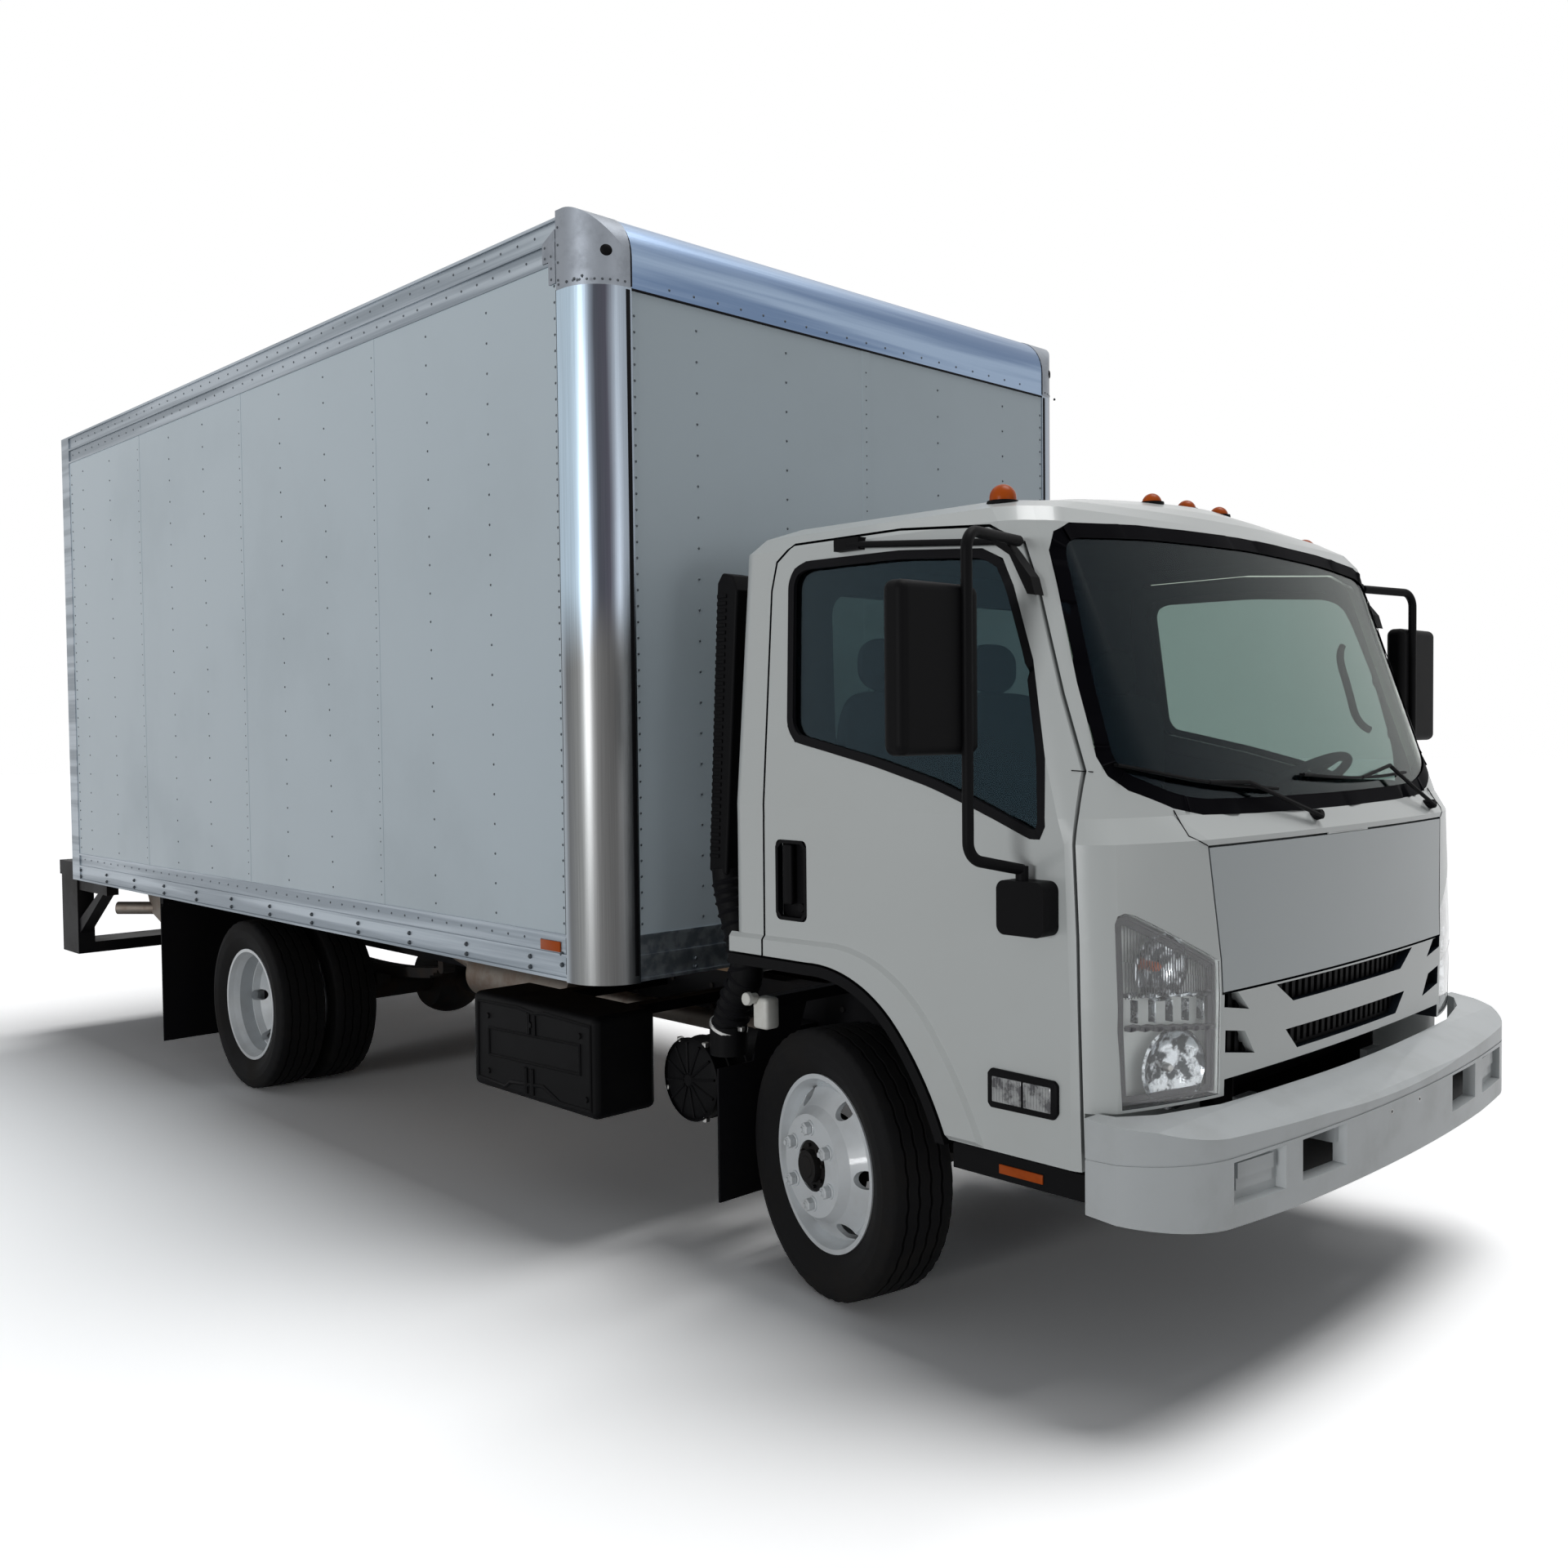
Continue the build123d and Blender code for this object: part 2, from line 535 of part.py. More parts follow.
def rear_frame():
    """Door frame of two posts, a header and a sill."""
    x0, x1 = BODY_REAR_X - REAR_FRAME_DEPTH, BODY_REAR_X
    frame = block(x0, x1, -HALF_BODY, HALF_BODY, BODY_FLOOR_Z, BODY_TOP_Z)
    frame -= block(x0 - 1, x1 + 1, -HALF_BODY + REAR_POST, HALF_BODY - REAR_POST, FLOOR_TOP_Z, BODY_TOP_Z - 210)
    return frame


keep("rear_frame", rear_frame())


def roll_door():
    """Sectional curtain closed in the frame, eight slats with a V joint between them."""
    slats = 8
    z0, z1 = FLOOR_TOP_Z, BODY_TOP_Z - 210
    pitch = (z1 - z0) / slats
    x_out, x_in = BODY_REAR_X - REAR_FRAME_DEPTH + 50, BODY_REAR_X - REAR_FRAME_DEPTH + 74
    outline = [(x_in, z1), (x_in, z0), (x_out, z0)]
    for i in range(1, slats):
        z = z0 + i * pitch
        outline += [(x_out, z - 8), (x_out + 7, z), (x_out, z + 8)]
    outline += [(x_out, z1)]
    y = HALF_BODY - REAR_POST
    door = along_y(polygon(*outline), -y, y)
    return door


keep("roll_door", roll_door())

# ---------------------------------------------------------------- rear step and flaps
STEP_TOP_Z = 968.0
STEP_LOW_Z = 455.0
STEP_FRONT_X = BODY_REAR_X - REAR_FRAME_DEPTH
STEP_REAR_X = STEP_FRONT_X - STEP_DEPTH
STEP_HALF = HALF_BODY - 20
STEP_POST = 86.0


def rear_step():
    """Two treads on side posts, braced forward under the floor."""
    step = block(STEP_REAR_X, STEP_FRONT_X, -STEP_HALF, STEP_HALF, STEP_TOP_Z - 80, STEP_TOP_Z)
    step += block(STEP_REAR_X + 30, STEP_FRONT_X, -STEP_HALF, STEP_HALF, STEP_LOW_Z, STEP_LOW_Z + 60)
    arm_x = BODY_REAR_X + 330
    for side in (1, -1):
        lo, hi = sorted((side * STEP_HALF, side * (STEP_HALF - STEP_POST)))
        step += block(STEP_REAR_X + 30, STEP_FRONT_X, lo, hi, STEP_LOW_Z, STEP_TOP_Z - 80)
        lo, hi = sorted((side * (STEP_HALF - 10), side * (STEP_HALF - 70)))
        step += block(STEP_FRONT_X - 40, arm_x, lo, hi, BODY_FLOOR_Z - 62, BODY_FLOOR_Z)
        brace = polygon((STEP_FRONT_X - 20, 640), (STEP_FRONT_X - 20, 560), (arm_x - 60, BODY_FLOOR_Z - 60),
                        (arm_x - 140, BODY_FLOOR_Z - 60))
        step += along_y(brace, lo, hi)
    return step


keep("rear_step", rear_step())


REAR_FLAP_X = REAR_AXLE_X - 854
FRONT_FLAP_X = AXLE_X - 458


def mud_flaps():
    """Flaps behind both axles, hung from the floor boards and from an arm on the frame."""
    x = REAR_FLAP_X
    rear = block(x - 5, x + 5, 560, HALF_BODY - 90, 110, BODY_FLOOR_Z)
    rear += block(x + 5, x + 35, 560, HALF_BODY - 90, BODY_FLOOR_Z - 60, FLOOR_TOP_Z - FLOOR_BOARD)
    x = FRONT_FLAP_X
    front = block(x - 4, x + 4, 640, 965, 196, 620)
    stay = polygon((x - 4, 620), (x + 4, 620), (AXLE_X - 390, 806), (AXLE_X - 402, 806))
    hanger = along_y(stay, 640, 820) + block(AXLE_X - 412, AXLE_X - 372, FRAME_HALF_WIDTH, 820, 800, 836)
    hanger += block(AXLE_X - 412, AXLE_X - 372, FRAME_HALF_WIDTH - 60, FRAME_HALF_WIDTH + 10, FRAME_TOP_Z, 836)
    return both_sides(rear) + both_sides(front) + both_sides(hanger)


# ---------------------------------------------------------------- chassis equipment
BRACKET_TOP_Z = 756.0
keep("battery_cover", fillet(block(AXLE_X - 1639, AXLE_X - 880, -1130, -880, 405, 745).edges(), 26)
     + block(AXLE_X - 1460, AXLE_X - 1400, -900, -FRAME_HALF_WIDTH, 700, BRACKET_TOP_Z - 20)
     + block(AXLE_X - 1050, AXLE_X - 990, -900, -FRAME_HALF_WIDTH, 700, BRACKET_TOP_Z - 20))
keep("fuel_tank", fillet(block(AXLE_X - 1900, AXLE_X - 900, 520, 1060, 420, 780).edges(), 60)
     + block(AXLE_X - 1700, AXLE_X - 1640, FRAME_HALF_WIDTH, 560, 600, 700)
     + block(AXLE_X - 1160, AXLE_X - 1100, FRAME_HALF_WIDTH, 560, 600, 700))
keep("mud_flaps", *mud_flaps())
CANISTER = (AXLE_X - 604, 560.0)
CANISTER_RADIUS = 130.0


def air_intake():
    """Canister, rubber boot and the upright duct behind the cab."""
    x, z = CANISTER
    can = bar_y(x, z, CANISTER_RADIUS, -949, -700)
    can += block(x - 40, x + 40, -710, -FRAME_HALF_WIDTH, z + 30, z + 110)
    can += bar_z(AXLE_X - 480, -900, 60, 655, 745)
    duct = along_y(polygon((AXLE_X - 520, 1236), (AXLE_X - 436, 1226), (AXLE_X - 370, 2110), (AXLE_X - 392, 2158),
                           (AXLE_X - 440, 2168), (AXLE_X - 464, 2138)), -940, -850)
    duct = fillet(duct.edges(), 9)
    path = Spline((AXLE_X - 480, -900, 735), (AXLE_X - 440, -902, 825), (AXLE_X - 386, -903, 925),
                  (AXLE_X - 402, -903, 1020), (AXLE_X - 448, -899, 1130), (AXLE_X - 478, -895, 1245))
    boot = sweep(Plane(path @ 0, z_dir=path % 0) * Circle(52), path)
    return can + duct + boot


keep("air_intake", air_intake())


def exhaust():
    """Silencer beside the frame's right rail, and the tail pipe out behind the rear wheels."""
    y = -550.0
    pipe = bar_x(y, 640, 105, AXLE_X - 2500, AXLE_X - 1750)
    pipe += bar_x(y, 640, 36, AXLE_X - 1750, AXLE_X - 700)
    pipe += block(AXLE_X - 2150, AXLE_X - 2110, y + 60, -FRAME_HALF_WIDTH, 660, 720)
    path = FilletPolyline((AXLE_X - 2480, y, 640), (AXLE_X - 2950, -505, 712), (REAR_AXLE_X - 900, -505, 730),
                          (REAR_AXLE_X - 1500, -1120, 740), radius=150)
    pipe += sweep(Plane(path @ 0, z_dir=path % 0) * Circle(34), path)
    hanger = polygon((REAR_AXLE_X - 1000, BODY_FLOOR_Z - 4), (REAR_AXLE_X - 1440, BODY_FLOOR_Z - 4),
                     (REAR_AXLE_X - 1345, 715), (REAR_AXLE_X - 1180, 660), (REAR_AXLE_X - 1000, 668))
    pipe += along_y(hanger, -1000, -960)
    pipe += block(REAR_AXLE_X - 1300, REAR_AXLE_X - 1240, -1000, -960, BODY_FLOOR_Z - 10, FLOOR_TOP_Z - FLOOR_BOARD)
    return pipe


keep("exhaust", exhaust())

# ---------------------------------------------------------------- front bumper
BUMPER_LOW_Z = 492.0
BUMPER_FRONT_Z = 698.0         # where the sloping top meets the front
BUMPER_BACK_Z = 742.0
BUMPER_END_Z = 762.0
BUMPER_HALF = 1072.0
BUMPER_BACK_X = AXLE_X + 1012.0
BUMPER_SKIN = 34.0
PLATE_HOLE_SPACING = 178.0
PLATE_HOLE_Z = 636.0
PLATE_HOLE_RADIUS = 4.0


def bumper_plan(inset):
    """Bowed bumper seen from above, with rounded ends."""
    front = AXLE_X + FRONT_OVERHANG - inset
    half = BUMPER_HALF - inset
    bend = (AXLE_X + 1262 - inset, 842.0 - 0.3 * inset)
    middle = (AXLE_X + 1192 - 0.75 * inset, 985 - 0.75 * inset)
    end = (AXLE_X + 1090 - 0.3 * inset, half - 10)
    edges = [Line((BUMPER_BACK_X, -half), (BUMPER_BACK_X, half))]
    for side in (1, -1):
        edges += [
            Line((BUMPER_BACK_X, side * half), (end[0], side * end[1])),
            ThreePointArc((end[0], side * end[1]), (middle[0], side * middle[1]), (bend[0], side * bend[1])),
        ]
    edges.append(ThreePointArc(bend, (front, 0), (bend[0], -bend[1])))
    return make_face(edges)


def bumper_section(drop):
    """Bumper seen from the side: a top that slopes forward and a tucked lower edge."""
    x = AXLE_X
    return polygon(
        (x + 1000, BUMPER_LOW_Z + 40 - drop), (x + 1170, BUMPER_LOW_Z + 18 - drop), (x + 1290, BUMPER_LOW_Z - drop),
        (x + 1330, BUMPER_LOW_Z + 4 - drop), (x + 1330, BUMPER_FRONT_Z - 24 - drop),
        (x + 1306, BUMPER_FRONT_Z - drop), (x + 1170, BUMPER_BACK_Z - drop), (x + 1000, BUMPER_END_Z - drop),
    )


def bumper_form(inset, drop):
    return along_z(bumper_plan(inset), 300, 900) & along_y(bumper_section(drop), -1200, 1200)


def bumper_back(gap):
    """Room behind the bumper's top for the cab's front panels."""
    x = AXLE_X
    edges = Polyline((x + 960, -1045), (x + 960, 1045), (x + 1050, 1000), (x + 1100 + gap, 900), (x + 1150 + gap, 690))
    front = ThreePointArc((x + 1150 + gap, 690), (x + 1178 + gap, 0), (x + 1150 + gap, -690))
    rest = Polyline((x + 1150 + gap, -690), (x + 1100 + gap, -900), (x + 1050, -1000), (x + 960, -1045))
    return along_z(make_face([edges, front, rest]), 400, 800)


def funnel(y0, y1, z0, z1, flare):
    """Tapered opening through the bumper's front, wider at the outside."""
    x0, x1 = AXLE_X + 1200.0, AXLE_X + 1330.0
    inner = Plane.YZ.offset(x0) * (Pos((y0 + y1) / 2, (z0 + z1) / 2) * Rectangle(y1 - y0, z1 - z0))
    outer = Plane.YZ.offset(x1) * (Pos((y0 + y1) / 2, (z0 + z1) / 2) * Rectangle(y1 - y0 + flare, z1 - z0 + flare / 2))
    return loft([inner, outer])


def front_bumper():
    shell = bumper_form(0, 0)
    shell -= bumper_form(BUMPER_SKIN, BUMPER_SKIN) + bumper_form(BUMPER_SKIN, BUMPER_SKIN + 60)
    shell -= bumper_back(0)
    groove = along_z(bumper_plan(-1), 662, 667) - along_z(bumper_plan(2.5), 650, 680)
    shell -= groove
    for side in (1, -1):
        shell -= funnel(*sorted((side * 368, side * 522)), 562, 640, 70)
        recess = funnel(*sorted((side * 640, side * 812)), 556, 644, 60)
        shell -= recess & along_z(bumper_plan(-2) - bumper_plan(24), 500, 700)
        hole = side * PLATE_HOLE_SPACING / 2
        shell -= bar_x(hole, PLATE_HOLE_Z, PLATE_HOLE_RADIUS, AXLE_X + 1200, AXLE_X + 1340)
        lo, hi = sorted((side * 336, side * 365))
        shell += block(FRAME_FRONT_X, AXLE_X + 1290, lo, hi, 604, 672)
        lo, hi = sorted((side * 336, side * FRAME_HALF_WIDTH))
        shell += block(FRAME_FRONT_X, FRAME_FRONT_X + 22, lo, hi, 604, 690)
    return shell


keep("front_bumper", front_bumper())

# ---------------------------------------------------------------- cab form
# One row per level: height, rear wall, half width, end of the flat side, knee of the corner
# (x, y), outer end of the front's middle arc (x, y), middle of the front. X from the front axle.
CAB_LEVELS = (
    # z, rear, half, side_end, knee_x, knee_y, corner_x, corner_y, front
    (CAB_SILL_Z, -310, 1031, 940, 1035, 975, 1130, 665, 1152),
    (1006, -310, 1031, 940, 1045, 972, 1140, 660, 1165),
    (1400, -310, 1031, 925, 1030, 965, 1122, 700, 1153),
    (1461, -312, 1030, 905, 1000, 945, 1062, 760, 1108),
    (2209, -330, 955, 665, 745, 900, 778, 820, 832),
    (2252, -285, 925, 620, 712, 868, 750, 785, 797),
    (2282, -220, 848, 555, 650, 780, 715, 685, 773),
    (2308, -140, 690, 450, 575, 620, 660, 520, 740),
    (2335, -10, 545, 320, 450, 465, 560, 365, 685),
    (2352, 130, 400, 300, 440, 370, 500, 315, 600),
)
REAR_CORNER = 60.0
EAVES_Z = 2209.0
CAB_TOP_Z = 2352.0


def cab_level(row, inset, drop):
    z, rear, half, side_end, knee_x, knee_y, corner_x, corner_y, front = row
    rear_x = AXLE_X + rear + inset
    half_y = half - inset
    radius = REAR_CORNER
    turn = radius * (1 - 0.70710678)
    end_x = AXLE_X + side_end - inset * 0.5
    knee = (AXLE_X + knee_x - inset * 0.85, knee_y - inset * 0.75)
    corner = (AXLE_X + corner_x - inset, corner_y - inset * 0.35)
    middle_x = AXLE_X + front - inset
    bulge = ((end_x * 0.38 + knee[0] * 0.62), (half_y * 0.58 + knee[1] * 0.42) + 2)
    flank = ((knee[0] + corner[0]) / 2 + 9, (knee[1] + corner[1]) / 2 + 3)

    def arc(a, b, c, side):
        return ThreePointArc((a[0], side * a[1]), (b[0], side * b[1]), (c[0], side * c[1]))

    edges = [Line((rear_x, -half_y + radius), (rear_x, half_y - radius))]
    for side in (1, -1):
        edges += [
            arc((rear_x, half_y - radius), (rear_x + turn, half_y - turn), (rear_x + radius, half_y), side),
            Line((rear_x + radius, side * half_y), (end_x, side * half_y)),
            arc((end_x, half_y), bulge, knee, side),
            arc(knee, flank, corner, side),
        ]
    edges.append(ThreePointArc((corner[0], corner[1]), (middle_x, 0), (corner[0], -corner[1])))
    return Plane.XY.offset(z - drop) * make_face(edges)


def cab_form(inset):
    """The cab's outer form, or the same form drawn in by inset on every side."""
    faces = []
    for row in CAB_LEVELS:
        crown = max(0.0, (row[0] - EAVES_Z) / (CAB_TOP_Z - EAVES_Z))
        faces.append(cab_level(row, inset, inset * crown))
    return loft(faces, ruled=True)


ARCH_TOP_Z = 1018.0
ARCH_REAR_X = AXLE_X - 600


def arch_face(grow):
    """Wheel arch seen from the side, from the cab's rear down to the sill."""
    low = CAB_SILL_Z - 120
    foot = (AXLE_X + 560, CAB_SILL_Z - 20)
    edges = [
        Line((ARCH_REAR_X, low), (ARCH_REAR_X, ARCH_TOP_Z)),
        Line((ARCH_REAR_X, ARCH_TOP_Z), (AXLE_X + 30, ARCH_TOP_Z)),
        ThreePointArc((AXLE_X + 30, ARCH_TOP_Z), (AXLE_X + 228, 985), (AXLE_X + 375, 885)),
        ThreePointArc((AXLE_X + 375, 885), (AXLE_X + 466, 772), foot),
        Line(foot, (foot[0], low)),
        Line((foot[0], low), (ARCH_REAR_X, low)),
    ]
    face = make_face(edges)
    return offset(face, amount=grow, kind=Kind.INTERSECTION) if grow else face


def underside(grow):
    """What is cut away below the cab: the wheel arch and the space over the frame."""
    low = CAB_SILL_Z - 30
    cut = along_y(arch_face(grow), -1200, 1200)
    cut += block(AXLE_X + 200, AXLE_X + 560 + grow, -500 - grow, 500 + grow, low, ARCH_TOP_Z + grow)
    cut += block(AXLE_X + 400, AXLE_X + 1080 + grow, -500 - grow, 500 + grow, low, 862 + grow)
    cut += block(AXLE_X + 976 - grow, AXLE_X + 1300, -1200, 1200, low, FRONT_PANEL_Z + grow)
    cut += block(AXLE_X + 1040, AXLE_X + 1300, -650 - grow, 650 + grow, low, GRILLE_PANEL_Z + grow)
    return cut


def arch_bulge(side):
    """Side panel raised over the arch, with a soft crease along its upper edge."""
    edges = [
        Line((AXLE_X - 330, CAB_SILL_Z), (AXLE_X - 330, 1076)),
        Line((AXLE_X - 330, 1076), (AXLE_X + 90, 1082)),
        ThreePointArc((AXLE_X + 90, 1082), (AXLE_X + 335, 1032), (AXLE_X + 488, 912)),
        ThreePointArc((AXLE_X + 488, 912), (AXLE_X + 594, 765), (AXLE_X + 674, CAB_SILL_Z)),
        Line((AXLE_X + 674, CAB_SILL_Z), (AXLE_X - 330, CAB_SILL_Z)),
    ]
    plate = extrude(Plane.XZ.offset(-(CAB_HALF_WIDTH - 1)) * make_face(edges), amount=-11, taper=50)
    plate &= block(AXLE_X - 306, AXLE_X + 700, CAB_HALF_WIDTH - 2, CAB_HALF_WIDTH + 20, CAB_SILL_Z, 1100)
    return plate if side > 0 else mirror(plate, Plane.XZ)


FLOOR_SKIN = 30.0
cab_outer = cab_form(0) + arch_bulge(1) + arch_bulge(-1)
cab_inner = cab_form(CAB_PANEL)
cut = underside(0)
cavity = cab_inner - underside(FLOOR_SKIN) - block(AXLE_X - 600, AXLE_X + 1300, -1200, 1200, 500, CAB_SILL_Z + FLOOR_SKIN)
door_skin = cab_outer - cab_inner - cut

DOOR_OUTLINE = (
    (-160, 560), (-156, 1430), (-180, 2090), (-165, 2175), (-100, 2222), (319, 2224), (640, 2200),
    (735, 2150), (783, 2029), (872, 1763), (941, 1575), (960, 1175), (974, 560),
)
WINDOW_OUTLINE = (
    (-75, 1690), (-108, 2110), (-88, 2150), (-40, 2168), (324, 2166), (620, 2144), (690, 2112), (728, 2040),
    (800, 1850), (858, 1606), (868, 1440), (852, 1408), (820, 1408), (663, 1470), (493, 1527), (281, 1580),
    (86, 1620), (-40, 1645),
)


def outline(points):
    return polygon(*[(AXLE_X + x, z) for x, z in points])


def door_prism(points, grow, side):
    sketch = outline(points)
    if grow:
        sketch = offset(sketch, amount=grow, kind=Kind.INTERSECTION)
    return along_y(sketch, *sorted((side * 840, side * 1200)))


SCREEN_OUTLINE = (
    (0, 1450), (420, 1452), (650, 1458), (754, 1478), (880, 1526), (921, 1562), (934, 1610), (930, 1662),
    (924, 1794), (900, 2037), (894, 2130), (870, 2180), (807, 2208), (523, 2226), (0, 2236),
)
REAR_WINDOW = (-620, 620, 1600, 2110)


def screen_prism(grow):
    half = [(y, z) for y, z in SCREEN_OUTLINE]
    points = half + [(-y, z) for y, z in half[-2:0:-1]]
    face = polygon(*points)
    if grow:
        face = offset(face, amount=grow, kind=Kind.INTERSECTION)
    return along_x(face, AXLE_X + 560, AXLE_X + 1300)


def rear_window_prism():
    y0, y1, z0, z1 = REAR_WINDOW
    face = Pos(0, (z0 + z1) / 2) * RectangleRounded(y1 - y0, z1 - z0, 70)
    return along_x(face, AXLE_X - 500, AXLE_X - 200)


LID_OUTLINE = ((-662, 1014), (662, 1014), (664, 1100), (700, 1383), (-700, 1383), (-664, 1100))
LID_THICKNESS = 26.0
LID_GAP = 6.0
HINGE_ROD = 2.7
LID_HINGE_X = AXLE_X + 1150.0
LID_HINGE_Z = 1383.0


def lid_prism(grow):
    return along_x(offset(polygon(*LID_OUTLINE), amount=grow, kind=Kind.INTERSECTION), AXLE_X + 1000, AXLE_X + 1300)


LAMP_OUTLINE = (
    (671, 764), (671, 1096), (700, 1112), (925, 1228), (950, 1234), (968, 1228), (974, 1210), (976, 956), (962, 764),
)


def lamp_prism(grow, side, back=1000.0):
    face = offset(polygon(*LAMP_OUTLINE), amount=grow, kind=Kind.INTERSECTION) if grow else polygon(*LAMP_OUTLINE)
    prism = along_x(face, AXLE_X + back, AXLE_X + 1300)
    return prism if side > 0 else mirror(prism, Plane.XZ)


# slots of the front panel, (y, z) for the left side
UPPER_SLOT = ((-418, 1006), (418, 1006), (332, 952), (-332, 952))
LOWER_SLOT = ((-367, 880), (367, 880), (305, 822), (-305, 822))
SMALL_SLOTS = (
    ((597, 1010), (656, 1012), (656, 979), (545, 960)),
    ((562, 906), (649, 920), (649, 864), (515, 842)),
)


def slots():
    cut = along_x(polygon(*UPPER_SLOT), AXLE_X + 1000, AXLE_X + 1300)
    cut += along_x(polygon(*LOWER_SLOT), AXLE_X + 1000, AXLE_X + 1300)
    for points in SMALL_SLOTS:
        for side in (1, -1):
            cut += along_x(polygon(*[(side * y, z) for y, z in points]), AXLE_X + 1000, AXLE_X + 1300)
    return cut


lid_form = cab_form(LID_THICKNESS)
keep("service_lid", (cab_outer - lid_form) & lid_prism(-LID_GAP / 2))

glass_slab = cab_form(5) - cab_form(5 + GLASS)
front_wall = cab_form(CAB_PANEL) - cab_form(CAB_PANEL + 14)
cab = cab_outer - cut - cavity - screen_prism(0) - rear_window_prism() - lid_prism(LID_GAP / 2) - slots()
door_zone = cab_form(CAB_PANEL + 0.3)
HINGE_X = AXLE_X + 977.0       # the doors' hinge line at its foot
HINGE_Y = 1033.0
for side in (1, -1):
    cab -= door_prism(DOOR_OUTLINE, DOOR_GAP / 2, side) - door_zone
    cab -= lamp_prism(1.5, side)
    cab -= bar_z(HINGE_X, side * (HINGE_Y + 4), 84, 560, 792) & block(
        AXLE_X + 860, AXLE_X + 965, *sorted((side * 930, side * 1002)), 560, 792)
# closing walls behind the lid, the slots and the lamps
backing = lid_prism(30)
for side in (1, -1):
    backing += lamp_prism(14, side, back=972.0)
backing += block(AXLE_X + 1000, AXLE_X + 1300, -700, 700, GRILLE_PANEL_Z, 1030)
cab += (front_wall & backing) - cut
cab += block(LID_HINGE_X - 2, LID_HINGE_X + 2, -120, 120, LID_HINGE_Z, LID_HINGE_Z + 5)
cab += bar_y(LID_HINGE_X, LID_HINGE_Z, HINGE_ROD, -120, 120)

for side in (1, -1):
    lo, hi = sorted((side * EAR_Y[0], side * EAR_Y[1]))
    ear = bar_y(PIVOT_X, PIVOT_Z, PIVOT_LUG, lo, hi)
    ear += block(PIVOT_X - PIVOT_LUG, PIVOT_X + PIVOT_LUG, lo, hi, PIVOT_Z, 866)
    cab += ear - bar_y(PIVOT_X, PIVOT_Z, PIVOT_RADIUS + PIN_CLEARANCE, lo - 5, hi + 5)
keep("cab_shell", cab)
keep("cab_glass", glass_slab & screen_prism(0), glass_slab & rear_window_prism())


def grille():
    """Ribbed black insert that fills the slots behind the front panel's face."""
    slab = cab_form(24) - cab_form(CAB_PANEL)
    insert = slab & slots()
    for i in range(-19, 20):
        y = i * 34
        insert -= block(AXLE_X + 1000, AXLE_X + 1300, y - 9, y + 9, 830, 1004) - cab_form(32)
    return insert


keep("grille", grille())

HANDLE = (-105.0, 24.0, 1130.0, 1363.0)
for name, side in (("left", 1), ("right", -1)):
    door = door_skin & door_prism(DOOR_OUTLINE, -DOOR_GAP / 2, side)
    door -= door_prism(WINDOW_OUTLINE, 0, side)
    pocket = block(AXLE_X + HANDLE[0], AXLE_X + HANDLE[1], *sorted((side * 1004, side * 1100)), HANDLE[2], HANDLE[3])
    door -= fillet(pocket.edges().filter_by(Axis.Y), 18)
    keep("door_" + name, door)
    slab = cab_form(14) - cab_form(14 + GLASS)
    keep("door_glass_" + name, slab & door_prism(WINDOW_OUTLINE, 0, side))

lens = cab_form(1.5) - cab_form(6)
keep("headlamps", *[lens & lamp_prism(0, side) for side in (1, -1)])


def roof_lamp(x, y, z, radius, height):
    """Amber beehive on a low round base."""
    lamp = Pos(x, y, z - 8) * Cylinder(radius + 5, 24)
    lamp += Pos(x, y, z + 4 + (height - radius) / 2) * Cylinder(radius, height - radius)
    return lamp + Pos(x, y, z + 4 + height - radius) * Sphere(radius)


lamps = [roof_lamp(AXLE_X + 632, y, 2330, 29, 33) for y in (-190, 0, 190)]
lamps += both_sides(roof_lamp(AXLE_X + 590, 838, 2270, 36, 51))
keep("roof_lamps", *[lamp - cab_form(0) for lamp in lamps])

# ---------------------------------------------------------------- cab fittings
cab_void = cab_form(CAB_PANEL + 14.3) - underside(FLOOR_SKIN + 2)


def dashboard():
    shape = polygon((AXLE_X + 1100, 1445), (AXLE_X + 1000, 1430), (AXLE_X + 860, 1450), (AXLE_X + 790, 1400),
                    (AXLE_X + 800, 1150), (AXLE_X + 900, 1080), (AXLE_X + 1100, 1080))
    return along_y(shape, -940, 940) & cab_void


def seat(y, width):
    floor_z = ARCH_TOP_Z + FLOOR_SKIN
    cushion = fillet(block(AXLE_X + 90, AXLE_X + 580, y - width / 2, y + width / 2, 1140, 1270).edges(), 35)
    base = block(AXLE_X + 20, AXLE_X + 200, y - width / 2 + 40, y + width / 2 - 40, floor_z - 20, 1150)
    base -= along_y(arch_face(FLOOR_SKIN), -1200, 1200)
    back = fillet(block(AXLE_X - 30, AXLE_X + 90, y - width / 2, y + width / 2, 1180, 1800).edges(), 35)
    rest = fillet(block(AXLE_X - 25, AXLE_X + 60, y - 120, y + 120, 1780, 1960).edges(), 30)
    return cushion + base + back + rest


keep("seats", seat(520, 560), seat(-180, 520), seat(-680, 430))

WHEEL_CENTRE = (AXLE_X + 700, 520.0, 1470.0)
WHEEL_TILT = 32.0


def steering_wheel():
    """Wheel and column of the left-hand drive."""
    ring = Torus(205, 15)
    hub = Cylinder(52, 40)
    spokes = Box(400, 36, 14) + Pos(-100, 0, 0) * Box(200, 30, 14)
    column = Pos(0, 0, -190) * Cylinder(34, 380)
    return Pos(*WHEEL_CENTRE) * Rot(0, -WHEEL_TILT, 0) * (ring + hub + spokes + column)


keep("dashboard", dashboard() + steering_wheel())


LIP_OUT = 1046.0
LIP_DEPTH = 36.0


